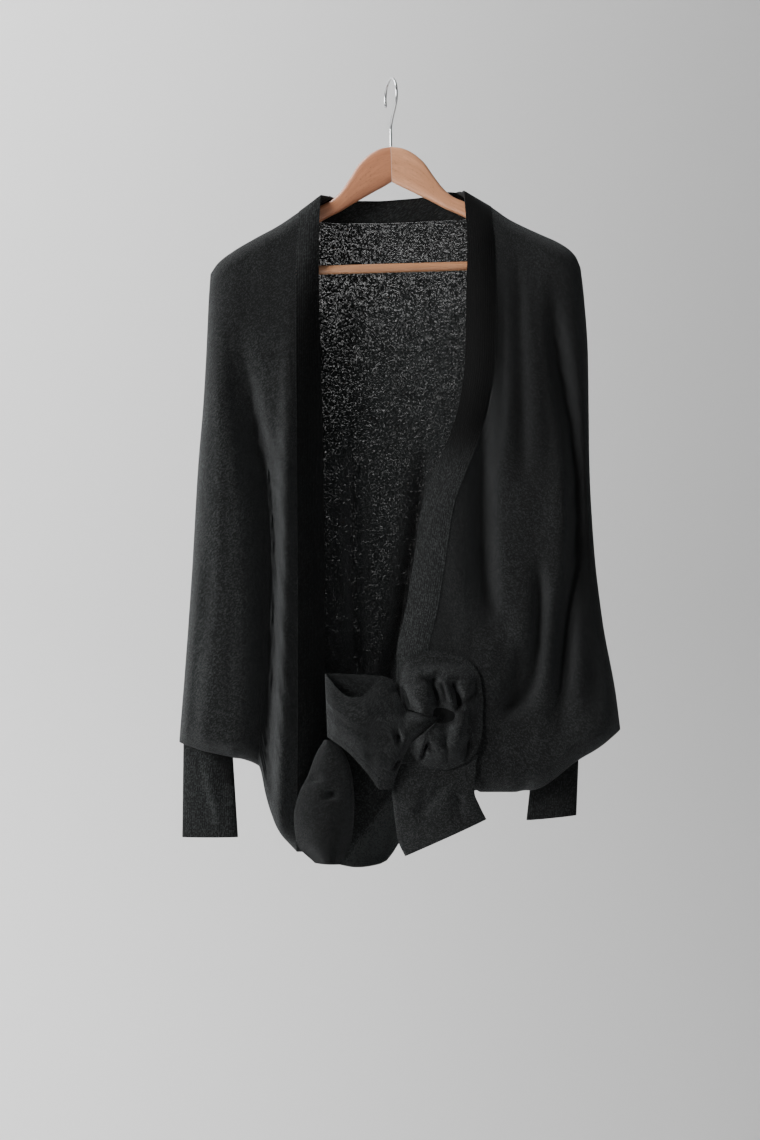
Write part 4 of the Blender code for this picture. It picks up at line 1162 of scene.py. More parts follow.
@dataclass(frozen=True)
class Side:
    """The tables of one side of the garment, in millimetres.

    The inner ends of the cuff's mouth and of the joined hem say where the lower edge opens; the top's
    free end and rise place the band's end at the neck.
    """

    outline: tuple
    shoulder: tuple
    hem: tuple
    back_hem: tuple
    base: tuple
    edge: tuple
    folds: tuple
    cuff_inner: float
    joined_inner: float
    top_free: float
    top_rise: float
    # Fold depth, in millimetres, that gives a whole step of painted shade in the folds
    fold_shade: float

    CUFF_EASE = 4
    OPEN_EASE = (14, 2)

    def closure(self, across: Grid) -> Grid:
        """Says how open the lower edge is: a cuff's mouth, a joined stretch, an open hem.

        Args:
            across: Places across.

        Returns:
            The share of the depth left there.
        """
        reach, cuff, joined = np.abs(across), abs(self.cuff_inner), abs(self.joined_inner)
        to_cuff = smooth(reach, cuff - self.CUFF_EASE, cuff + self.CUFF_EASE)
        to_open = 1 - smooth(reach, joined - self.OPEN_EASE[0], joined - self.OPEN_EASE[1])
        return Body.CUFF_MOUTH * to_cuff + Body.HEM_OPEN * to_open

    def stand(self, across: Grid, height: Grid, below: Grid, above: Grid) -> Grid:
        """Says how far the side has rounded from its fold, its shoulder and its lower edge.

        Args:
            across: Places across.
            height: Places in height.
            below: Distances below the shoulder.
            above: Distances above the lower edge.

        Returns:
            The share of the full depth, from 0 at a fold to 1.
        """
        outer = between(self.outline, height, 1)
        share = rounded(np.abs(outer - across), Body.FOLD_REACH) * rounded(below, Body.TOP_REACH)
        closure = self.closure(across)
        return share * (closure + (1 - closure) * rounded(above, Body.HEM_REACH))


@dataclass
class Body:
    """Back, fronts and bands: their sizes in millimetres and the grids they are built on."""

    left: Side
    right: Side
    wall: float = 1.8
    band_wall: float = 2.8
    seam_gap: float = 0.3
    band_gap: float = 0.16
    neck_gap: float = 0.1
    rows: int = 104
    side_columns: int = 60
    middle_columns: int = 54
    band_columns: int = 14
    neckband_rows: int = 12
    arm_bow: float = 16.0
    bow_ease: float = 0.45
    bow_eased: tuple[float, float] = (300, 850)
    spread_half: float = 210.0
    band_crown: float = 3.0
    band_rise: float = 46.0
    neck_stand: float = 13.0
    neck_ease: float = 6.0
    neck_turn: float = 5.0
    knot_at: Corner = Corner(59.0, -762.0)
    knot_pull: float = 12.0
    knot_reach: float = 95.0
    knot_squash: float = 0.8
    sheer_fades: float = 60.0
    # Painted shade: the most that a front's folds give, and the most in all
    deepest_fold: float = 0.68
    deepest_shade: float = 0.85
    # Painted light on the back's lobe, right of a leaning line and low down
    lobe_line: Corner = Corner(-1.0, -864.0)
    lobe_lean: float = 0.72
    lobe_light: float = 2.2
    lobe_edge: float = 8.0
    lobe_from: tuple[float, float] = (850.0, 885.0)

    FOLD_REACH = 34.0
    TOP_REACH = 19.0
    HEM_REACH = 26.0
    HEM_OPEN = 0.62
    CUFF_MOUTH = 0.36
    LEAST_STAND = 4.0
    SPREAD_FROM = 0.5
    JOINED_UNDER = 0.02

    def __post_init__(self) -> None:
        """Lays out the grids of all panels and bands."""
        self.down = refined(ROWS, self.rows)[:, None]
        self.shares = refined(SIDE_COLUMNS, self.side_columns)
        self.steps = refined((0.0, *MIDDLE_COLUMNS, 1.0), self.middle_columns + 2)[1:-1]
        self.grids = {
            "front_left": self.front(self.left),
            "front_right": self.front(self.right),
            "back": self.back(),
        }
        self.grids["band_left"] = self.band(self.left, self.grids["front_left"])
        self.grids["band_right"] = self.band(self.right, self.grids["front_right"])
        self.grids["neckband_back"] = self.neckband(self.grids["back"])
        self.normals = {
            name: normals_of(grid, 1 if name in ("back", "neckband_back") else -1)
            for name, grid in self.grids.items()
        }
        self.join_seams()

    def middle(self, across: Any, height: Any) -> Any:
        """Depth of the middle of the cloth: it bows forward to the shoulders as the hanger does."""
        ease = 1 - self.bow_ease * smooth(-np.asarray(height, dtype=float), *self.bow_eased)
        return -self.arm_bow * (np.asarray(across, dtype=float) / self.spread_half) ** 2 * ease

    def pull(self, across: Grid, height: Grid) -> Grid:
        """How far the knot draws the cloth forward."""
        square = (across - self.knot_at.across) ** 2
        square = square + ((height - self.knot_at.height) * self.knot_squash) ** 2
        return self.knot_pull * np.exp(-square / self.knot_reach ** 2)

    def plan(self, side: Side, hem: tuple, edge: tuple) -> tuple[Grid, Grid, Grid, Grid]:
        """Lays out the points of a side in the plane of the front.

        Args:
            side: The side's tables.
            hem: Its lower edge.
            edge: Its inner edge, as places across by height.

        Returns:
            Places across, heights, distances below the shoulder and above the lower edge.
        """
        share = self.shares
        spread = smooth(share, self.SPREAD_FROM, 1.0)
        top_x = side.outline[0].across + (side.shoulder[0].across - side.outline[0].across) * share
        top = between(side.shoulder, top_x, 1)
        base_low = between(side.base, hem[-1].height, 1)
        low_x = hem[0].across + (base_low - hem[0].across) * share
        low_x = low_x + (hem[-1].across - base_low) * spread
        low = between(hem, low_x, 1)
        height = top + (low - top) * self.down
        outer = between(side.outline, height, 1)
        base = between(side.base, height, 1)
        across = outer + (base - outer) * share + (between(edge, height, 1) - base) * spread
        across[0] = top_x
        return across, height, top - height, height - low

    def front_depth(self, side: Side, across: Grid, height: Grid, share: Grid) -> Grid:
        """Depth of a front's mid surface, with its folds and low waves.

        Args:
            side: The front's side.
            across: Places across.
            height: Places in height.
            share: Share of the full depth at each place.

        Returns:
            The depths.
        """
        folds = fold_depth(side.folds, across, height)
        crease = fold_depth(CREASES, across, height) + ripple(across, height, FRONT_WAVE, SEED)
        stand = between(DEPTHS, height, 1) + self.pull(across, height)
        return self.middle(across, height) - np.maximum(stand - folds - crease, self.LEAST_STAND) * share

    def front(self, side: Side) -> Grid:
        """Lays out a front, from its outer fold to its seam with the band.

        Args:
            side: The front's side.

        Returns:
            Its mid surface.
        """
        across, height, below, above = self.plan(side, side.hem, side.edge)
        share = side.stand(across, height, below, above)
        return stacked(across, self.front_depth(side, across, height, share), height)

    def back(self) -> Grid:
        """Lays out the back: left side, middle under the neck, right side.

        Returns:
            Its mid surface.
        """
        halves = []
        for side in (self.left, self.right):
            across, height, below, above = self.plan(side, side.back_hem, side.base)
            halves.append((across, height, side.stand(across, height, below, above)))
        first, last = self.left.shoulder[0].across, self.right.shoulder[0].across
        top_x = first + (last - first) * self.steps
        top_z = between([(row.seam_across, row.seam_height) for row in BACK_BAND], top_x, 1)
        low_x = BACK_HEM[0].across + (BACK_HEM[-1].across - BACK_HEM[0].across) * self.steps
        low_z = between(BACK_HEM, low_x, 1)
        middle_z = top_z + (low_z - top_z) * self.down
        middle_x = top_x + (low_x - top_x) * self.down
        open_neck = smooth(np.minimum(middle_x - first, last - middle_x), 0, self.neck_turn)
        share = open_neck + (1 - open_neck) * rounded(top_z - middle_z, self.TOP_REACH)
        closing = (1 - self.HEM_OPEN) * rounded(middle_z - low_z, self.HEM_REACH)
        share = share * (self.HEM_OPEN + closing)
        (left_x, left_z, left_share), (right_x, right_z, right_share) = halves
        across = np.concatenate([left_x, middle_x, right_x[:, ::-1]], axis=1)
        height = np.concatenate([left_z, middle_z, right_z[:, ::-1]], axis=1)
        share = np.concatenate([left_share, share, right_share[:, ::-1]], axis=1)
        folds = fold_depth(BACK_FOLDS, across, height) + ripple(across, height, BACK_WAVE, SEED + 1)
        stand = np.maximum(between(DEPTHS, height, 2) + folds, self.LEAST_STAND)
        return stacked(across, self.middle(across, height) + stand * share, height)

    def band(self, side: Side, panel: Grid) -> Grid:
        """Lays out a front's band, from its seam with the panel to its free edge.

        Args:
            side: The front's side.
            panel: The front's mid surface.

        Returns:
            The band's mid surface.
        """
        seam = panel[:, -1]
        height = seam[:, 2]
        below = seam[0, 2] - height
        free_z = height + side.top_rise * (1 - smooth(below, 0, self.band_rise))
        free = stacked(between(side.edge, height, 2), between(side.edge, height, 3), free_z)
        free[0] = (side.top_free, self.middle(side.top_free, 0), seam[0, 2] + side.top_rise)
        columns = []
        for share in np.linspace(0, 1, self.band_columns):
            column = seam + (free - seam) * share
            crown = self.band_crown * math.sin(math.pi * share)
            column[:, 1] -= crown * smooth(below, 0, self.band_rise)
            columns.append(column)
        return np.stack(columns, axis=1)

    def neckband(self, back: Grid) -> Grid:
        """Lays out the back neck's band, from its free edge down to its seam with the back.

        Args:
            back: The back's mid surface.

        Returns:
            The band's mid surface.
        """
        first = self.side_columns - 1
        seam = back[0, first:first + self.middle_columns + 2]
        rows = [(row.seam_across, row.free_across, row.free_height) for row in BACK_BAND]
        free_x, free_z = between(rows, seam[:, 0], 1), between(rows, seam[:, 0], 2)
        to_end = np.minimum(seam[:, 0] - seam[0, 0], seam[-1, 0] - seam[:, 0])
        ends = smooth(to_end, 0, self.neck_ease)
        free = stacked(free_x, self.middle(free_x, 0) + self.neck_stand * ends, free_z)
        shares = np.linspace(1, 0, self.neckband_rows)
        return np.stack([seam + (free - seam) * share for share in shares], axis=0)

    def join_seams(self) -> None:
        """Gives edges that meet in a seam the same normals, and sets joined hems a seam apart."""
        wide, mid = self.side_columns, self.middle_columns
        everything = slice(None)
        seams = (
            ("front_left", (everything, 0), "back", (everything, 0)),
            ("front_right", (everything, 0), "back", (everything, -1)),
            ("front_left", (0, everything), "back", (0, slice(0, wide))),
            ("front_right", (0, everything), "back", (0, slice(-1, -wide - 1, -1))),
            ("front_left", (everything, -1), "band_left", (everything, 0)),
            ("front_right", (everything, -1), "band_right", (everything, 0)),
            ("neckband_back", (-1, everything), "back", (0, slice(wide - 1, wide + mid + 1))),
        )
        for first, first_edge, second, second_edge in seams:
            shared = share_normals(self.normals[first][first_edge], self.normals[second][second_edge])
            self.normals[first][first_edge] = shared
            self.normals[second][second_edge] = shared
        for name, side, turn in (("front_left", self.left, 1), ("front_right", self.right, -1)):
            low = self.plan(side, side.back_hem, side.base)[0][-1]
            for column in np.flatnonzero(side.closure(low) < self.JOINED_UNDER):
                if column == 0:
                    continue
                other = column if turn > 0 else -column - 1
                shared = self.normals[name][-1, column] + self.normals["back"][-1, other]
                shared = shared / max(float(np.linalg.norm(shared)), LEAST_LENGTH)
                self.normals[name][-1, column] = shared
                self.normals["back"][-1, other] = shared
                self.grids[name][-1, column, 1] -= self.seam_gap / 2
                self.grids["back"][-1, other, 1] += self.seam_gap / 2

    def sheer(self, grid: Grid) -> Grid:
        """How open the back's knit shows: most under the neck, where it hangs single and stretched."""
        inside = smooth(self.spread_half - np.abs(grid[..., 0]), 0.0, self.sheer_fades)
        return between(SHEER, grid[..., 2], 1) * inside

    def shade(self, name: str, grid: Grid) -> Grid:
        """Painted shade of a panel or band: its painted shade by height, more painted shade in a front's
        folds, painted light on the back's lobe.

        The lobe is the back's lowest stretch, which hangs past the fronts.

        Args:
            name: The piece's node.
            grid: Its mid surface.

        Returns:
            The painted shade at each point.
        """
        across, height, shade = grid[..., 0], grid[..., 2], painted_shade_at(name, grid)
        # Painted light on the back's lobe, right of a leaning line and low down
        if name == "back":
            line = self.lobe_line.across - (self.lobe_line.height - height) * self.lobe_lean
            past = smooth(across - line, -self.lobe_edge, self.lobe_edge)
            return shade - self.lobe_light * past * smooth(-height, *self.lobe_from)
        side = {"front_left": self.left, "front_right": self.right}.get(name)
        if side is None:
            return shade
        # Painted shade in the front's folds, deeper as the fold deepens
        folds = np.maximum(fold_depth(side.folds, across, height), 0.0)
        shade = shade + np.clip(folds / side.fold_shade, 0.0, self.deepest_fold)
        return np.minimum(shade, self.deepest_shade)

    def build(self, knit: bpy.types.Material, sheer_knit: bpy.types.Material,
              rib: bpy.types.Material) -> dict[str, bpy.types.Object]:
        """Builds and dresses the panels and bands.

        Args:
            knit: Finish of the fronts.
            sheer_knit: Finish of the back, with small holes.
            rib: Finish of the bands.

        Returns:
            The pieces by node name.
        """
        panel = (("first", "top", "last"), self.seam_gap / 2, self.wall, "knit")
        band = (("first", "top"), self.band_gap, self.band_wall, "rib")
        neck = (("first", "last"), self.band_gap, self.band_wall, "rib")
        made: dict[str, bpy.types.Object] = {}
        for name, piece, finish, (edges, gap, wall, slot) in (
                ("front_left", "front_left_knit", knit, panel),
                ("front_right", "front_right_knit", knit, panel),
                ("back", "back_knit", sheer_knit, panel),
                ("band_left", "band_left_rib", rib, band),
                ("band_right", "band_right_rib", rib, band),
                ("neckband_back", "neckband_rib", rib, neck)):
            grid = draw_back(self.grids[name], edges, gap)
            if name == "neckband_back":
                grid = draw_back(grid, ("bottom",), self.neck_gap)
            # Each piece carries its painted shade and painted light
            cloth = Cloth(piece, grid, self.normals[name], wall, shade=self.shade(name, grid))
            if name == "back":
                cloth.sheer = self.sheer(grid)
            made[name] = finished(cloth.build(), finish, slot, name)
        return made


@dataclass(frozen=True)
class Cuff:
    """A cuff's tube, in millimetres: its ends by height, its middles, half widths and depths."""

    top: float
    bottom: float
    top_middle: float
    bottom_middle: float
    top_half: float
    bottom_half: float
    place: float
    depth: float
    slant: float
    creases: tuple[Fold, ...] = ()

    SLACK = 0.25
    FLATNESS = 0.8

    def grid(self, rows: int = 60, sides: int = 96) -> Grid:
        """Lays out flattened rings down the cuff's length.

        Args:
            rows: How many rings.
            sides: Points on each ring.

        Returns:
            The mid surface, its last column beside the first.
        """
        share = np.linspace(0, 1, rows)[:, None]
        turn = np.linspace(0, 2 * math.pi, sides, endpoint=False)[None, :]
        middle = self.top_middle + (self.bottom_middle - self.top_middle) * share
        half = self.top_half + (self.bottom_half - self.top_half) * share
        depth = self.depth * (1 + self.SLACK * np.sin(math.pi * share))
        across = middle + half * np.cos(turn)
        offset = depth * np.sign(np.sin(turn)) * np.abs(np.sin(turn)) ** self.FLATNESS
        height = self.top + (self.bottom - self.top) * share + self.slant * np.cos(turn) * share
        crease = fold_depth(self.creases, across, height) * np.clip(-np.sin(turn), 0, 1)
        return stacked(across, self.place + offset + crease, height)


@dataclass
class Cuffs:
    """The two long narrow cuffs."""

    left: Cuff
    right: Cuff
    wall: float = 1.8

    def build(self, rib: bpy.types.Material) -> dict[str, bpy.types.Object]:
        """Builds and dresses both cuffs.

        Args:
            rib: Their finish.

        Returns:
            The pieces by node name.
        """
        made = {}
        for name, cuff in (("cuff_left", self.left), ("cuff_right", self.right)):
            grid = cuff.grid()
            # Painted shade and painted light of the cuff, from its tables
            piece = Cloth(name + "_rib", grid, ring_normals(grid), self.wall, closed=True,
                          shade=painted_shade_at(name, grid)).build()
            made[name] = finished(piece, rib, "rib", name)
        return made


@dataclass
class Tie:
    """The hem's tails tied in front, the knot and the turned corner of the left front's hem."""

    body: Body
    wall: float = 1.8
    lie: float = 3.4
    seat: float = 1.6
    knot_rings: int = 72
    knot_turns: int = 200
    pinch: float = 5.0
    crest: float = 0.42
    fall: float = 1.6
    swell: float = 14.0
    lap_ease: float = 0.7
    roll_from: float = 0.72
    roll: float = 7.0
    over_tail: float = 2.6
    over_band: float = 2.6
    to_tail: tuple[float, float] = (6.0, 34.0)
    to_band: tuple[float, float] = (80.0, 104.0)
    to_roll: tuple[float, float] = (112.0, 136.0)
    seated: tuple[float, float] = (0.55, 0.9)
    rim_wall: float = 0.6
    rim_from: float = 0.86
    # Painted shade of the knot: the most in its pits, the depth over which it fades, the crease depth per
    # step, and the most in all
    knot_shade: float = 0.6
    shade_depth: float = 14.0
    crease_shade: float = 5.0
    deepest_shade: float = 0.85
    tail_free: float = 5.0
    tail_swell: float = 7.0
    tail_hangs: tuple[float, float] = (818.0, 862.0)
    tail_settles: tuple[float, float] = (880.0, 930.0)
    tail_settled: float = 0.4
    tail_seat: float = 0.4
    loop_front: float = 15.0
    turn_depth: float = -44.6
    turn_swell: float = 15.0
    turn_least: float = 0.35
    turn_arch: tuple[float, float] = (0.1, 0.75)
    turn_round: tuple[float, float] = (0.55, 0.9)
    turn_tip: float = 0.6

    @staticmethod
    def patch(first_edge: tuple, second_edge: tuple, rows: int, columns: int) -> tuple[Grid, Grid]:
        """Lays out points between two edges, each a line through a few corners.

        Args:
            first_edge: The edge of the first column.
            second_edge: The edge of the last column.
            rows: Points along the edges.
            columns: Points between them.

        Returns:
            Places across and heights.
        """
        first = along(first_edge, np.linspace(0, 1, rows))
        second = along(second_edge, np.linspace(0, 1, rows))
        share = np.linspace(0, 1, columns)[None, :, None]
        plan = first[:, None] + (second - first)[:, None] * share
        return plan[..., 0], plan[..., 1]

    def platform(self, across: Grid, height: Grid) -> Grid:
        """Depth of the smooth form that the knot and the right tail lie on."""
        stand = between(DEPTHS, height, 1) + self.body.pull(across, height)
        return self.body.middle(across, height) - stand - self.lie

    def knot_share(self) -> Grid:
        """Share of the way from the knot's pinched middle to its rim, by ring."""
        return np.linspace(0, 1, self.knot_rings)[:, None]

    def knot(self) -> Grid:
        """Lays out the knot: a collar of cloth, pleated towards its pinched middle.

        Returns:
            Its mid surface.
        """
        angle = np.linspace(KNOT_RIM[0].angle, KNOT_RIM[-1].angle, self.knot_turns)[None, :]
        share = self.knot_share()
        reach = self.pinch + (between(KNOT_RIM, angle, 1) - self.pinch) * share
        turn = np.radians(angle)
        across = self.body.knot_at.across + reach * np.cos(turn)
        height = self.body.knot_at.height + reach * np.sin(turn)
        past = np.clip((share - self.crest) / (1 - self.crest), 0, 1)
        swell = np.where(share < self.crest, 1 - (1 - share / self.crest) ** 2,
                         np.cos(past * math.pi / 2) ** self.fall)
        over_tail, over_band = smooth(-angle, *self.to_tail), smooth(angle, *self.to_band)
        lap = (self.over_tail * over_tail + self.over_band * over_band) * share ** self.lap_ease
        folds = fold_depth(KNOT_FOLDS, across, height) + fold_depth(KNOT_CREASES, across, height)
        roll = self.roll * smooth(angle, *self.to_roll) * smooth(share, self.roll_from, 1.0) ** 2
        front = np.maximum(self.swell * swell + lap - folds, lap)
        flat = self.platform(across, height)
        whole = np.ones_like(across)
        seat = self.body.front_depth(self.body.right, across, height, whole) - self.seat
        seated = smooth(share, *self.seated) * (1 - over_tail) * (1 - over_band)
        return stacked(across, flat + np.minimum(seat - flat, 0.0) * seated - front + roll, height)

    def knot_painted_shade(self, grid: Grid) -> Grid:
        """Painted shade of the knot: dark in its creases and in its sunken pits, whose shade fades out at its
        rim.

        Args:
            grid: Its mid surface.

        Returns:
            The painted shade at each point.
        """
        across, depth, height = grid[..., 0], grid[..., 1], grid[..., 2]
        sunk = (depth - self.platform(across, height)) / self.shade_depth
        shade = np.clip(self.knot_shade + sunk, 0.0, self.knot_shade) * smooth(-self.knot_share(), -1.0, -0.6)
        crease = fold_depth(KNOT_CREASES, across, height) / self.crease_shade
        return np.clip(shade + crease, 0.0, self.deepest_shade)

    def left_tail(self, rows: int = 56, columns: int = 120) -> Grid:
        """Lays out the left tail: a loop from the knot out to the tip and back behind itself.

        Args:
            rows: Points across the loop.
            columns: Points along it.

        Returns:
            Its mid surface.
        """
        share = np.linspace(0, 1, rows)[:, None]
        spots = refined(range(len(TAIL_LOOP)), columns)
        sections = [(index, *row) for index, row in enumerate(TAIL_LOOP)]
        across, depth, top, bottom, crown, lean, drift = (
            between(sections, spots, item + 1) for item in range(len(TAIL_LOOP[0])))
        height = top + (bottom - top) * share
        out = depth - crown * np.sin(math.pi * share) + lean * share
        x = across + drift * share
        crease = fold_depth(TAIL_CREASES, x + 0 * height, height) * (spots < self.loop_front)
        seat = np.maximum(out, self.platform(x, height) - self.tail_seat)
        return stacked(x, np.minimum(out + crease, seat), height)

    def right_tail(self, rows: int = 64, columns: int = 60) -> Grid:
        """Lays out the right tail, which hangs from under the knot.

        Args:
            rows: Points down the tail.
            columns: Points across it.

        Returns:
            Its mid surface.
        """
        across, height = self.patch(RIGHT_TAIL_LEFT, RIGHT_TAIL_RIGHT, rows, columns)
        over = np.linspace(0, 1, columns)[None, :]
        hang = smooth(-height, *self.tail_hangs)
        hang = hang * (1 - self.tail_settled * smooth(-height, *self.tail_settles))
        swell = self.tail_swell * np.sin(math.pi * over) ** 0.6 * hang
        folds = fold_depth(TAIL_FOLDS, across, height) + fold_depth(SKIRT_CREASES, across, height)
        depth = self.platform(across, height) - self.tail_free * hang - swell + folds * hang
        return stacked(across, depth, height)

    def hem_turn(self, rows: int = 72, columns: int = 48) -> Grid:
        """Lays out the turned hem corner: a drop shape on the left front's lower end.

        Args:
            rows: Points down the drop.
            columns: Points across it.

        Returns:
            Its mid surface.
        """
        across, height = self.patch(TURN_LEFT, TURN_RIGHT, rows, columns)
        down, over = np.linspace(0, 1, rows)[:, None], np.linspace(0, 1, columns)[None, :]
        arch = np.sin(math.pi * (self.turn_arch[0] + self.turn_arch[1] * down))
        tall = self.turn_least + (1 - self.turn_least) * arch
        power = self.turn_round[0] + self.turn_round[1] * smooth(down, self.turn_tip, 1.0)
        swell = self.turn_swell * np.sin(math.pi * over) ** power * tall
        return stacked(across, self.turn_depth - swell + fold_depth(TURN_FOLDS, across, height), height)

    def build(self, knit: bpy.types.Material) -> dict[str, bpy.types.Object]:
        """Builds and dresses the knot, the tails and the turned corner.

        Args:
            knit: Their finish.

        Returns:
            The pieces by node name.
        """
        grids = {"knot": self.knot(), "tail_left": self.left_tail(), "tail_right": self.right_tail(),
                 "hem_turn": self.hem_turn()}
        made = {}
        for name, grid in grids.items():
            # Each piece carries its painted shade; the knot's is painted shade in its creases and pits
            cloth = Cloth(name + "_knit", grid, normals_of(grid, -1), self.wall, shade=painted_shade_at(name, grid))
            if name == "knot":
                thinned = smooth(self.knot_share(), self.rim_from, 1.0)
                cloth.thickness = self.wall - (self.wall - self.rim_wall) * thinned
                cloth.shade, cloth.planar = self.knot_painted_shade(grid), True
            made[name] = finished(cloth.build(), knit, "knit", name)
        return made


# ---- Linking stitches ----


@dataclass
class SeamStitches:
    """The linking stitches along the seams, set out by a geometry tree. Sizes in metres."""

    pitch: float = 0.0042
    length: float = 0.0026
    thread: float = 0.00045
    uneven: tuple[float, float] = (0.8, 1.15)
    stand: float = 1.15
    along_seam: tuple[int, int] = (6, -2)

    def tree(self) -> bpy.types.GeometryNodeTree:
        """Builds the tree: points along each path, a stitch on each, made real, with a finish.

        Returns:
            The tree, with the named inputs Pitch, Length, Thread, Seed and Finish.
        """
        tree = bpy.data.node_groups.new("seam_stitches", "GeometryNodeTree")
        face = tree.interface
        face.new_socket("Paths", in_out="INPUT", socket_type="NodeSocketGeometry")
        for name, value in (("Pitch", self.pitch), ("Length", self.length), ("Thread", self.thread)):
            face.new_socket(name, in_out="INPUT", socket_type="NodeSocketFloat").default_value = value
        face.new_socket("Seed", in_out="INPUT", socket_type="NodeSocketInt").default_value = SEED
        face.new_socket("Finish", in_out="INPUT", socket_type="NodeSocketMaterial")
        face.new_socket("Stitches", in_out="OUTPUT", socket_type="NodeSocketGeometry")
        add = partial(add_node, tree)
        given = tree.nodes.new("NodeGroupInput").outputs
        curve = add("GeometryNodeMeshToCurve", {}, {"Mesh": given["Paths"]})
        points = add("GeometryNodeCurveToPoints", {"mode": "LENGTH"},
                     {"Curve": curve.outputs[0], "Length": given["Pitch"]})
        half = add("ShaderNodeMath", {"operation": "MULTIPLY"}, {0: given["Length"], 1: 0.5})
        stitch = add("GeometryNodeMeshUVSphere", {}, {"Segments": 6, "Rings": 4, "Radius": 1.0})
        size = add("ShaderNodeCombineXYZ", {}, {0: given["Thread"], 1: given["Thread"], 2: half.outputs[0]})
        random = add("FunctionNodeRandomValue", {"data_type": "FLOAT"},
                     {"Min": self.uneven[0], "Max": self.uneven[1], "Seed": given["Seed"]})
        scale = add("ShaderNodeVectorMath", {"operation": "SCALE"},
                    {0: size.outputs[0], "Scale": random.outputs[1]})
        placed = add("GeometryNodeInstanceOnPoints", {},
                     {"Points": points.outputs["Points"], "Instance": stitch.outputs["Mesh"],
                      "Rotation": points.outputs["Rotation"], "Scale": scale.outputs["Vector"]})
        real = add("GeometryNodeRealizeInstances", {}, {"Geometry": placed.outputs[0]})
        flat = add("GeometryNodeSetShadeSmooth", {}, {"Geometry": real.outputs[0]})
        dressed = add("GeometryNodeSetMaterial", {},
                      {"Geometry": flat.outputs[0], "Material": given["Finish"]})
        add("NodeGroupOutput", {}, {0: dressed.outputs[0]})
        return tree

    def path(self, body: Body, name: str) -> Grid:
        """The seam of a front with its band, on the cloth's outer side."""
        rows = slice(*self.along_seam)
        return body.grids[name][rows, -1] + body.normals[name][rows, -1] * self.stand

    def build(self, name: str, paths: Sequence[Grid], finish: bpy.types.Material) -> bpy.types.Object:
        """Makes the stitches along some paths.

        Args:
            name: The piece's name.
            paths: Lines of points in millimetres.
            finish: The thread's material.

        Returns:
            The stitches as a plain mesh.
        """
        points = np.concatenate(paths) * MM
        edges, start = [], 0
        for path in paths:
            edges += [(start + step, start + step + 1) for step in range(len(path) - 1)]
            start += len(path)
        mesh = bpy.data.meshes.new(name + "_paths")
        mesh.from_pydata(points.tolist(), edges, [])
        carrier = placed(name + "_paths", mesh)
        tree = self.tree()
        modifier = carrier.modifiers.new("Stitches", "NODES")
        modifier.node_group = tree
        for item in tree.interface.items_tree:
            if item.name == "Finish":
                modifier[item.identifier] = finish
        bpy.context.view_layer.update()
        evaluated = carrier.evaluated_get(bpy.context.evaluated_depsgraph_get())
        plain = bpy.data.meshes.new_from_object(evaluated)
        carrier.modifiers.remove(modifier)
        bpy.data.objects.remove(carrier)
        plain.name = name
        return finished(placed(name, plain), finish, "rib")


# ---- The hanger ----


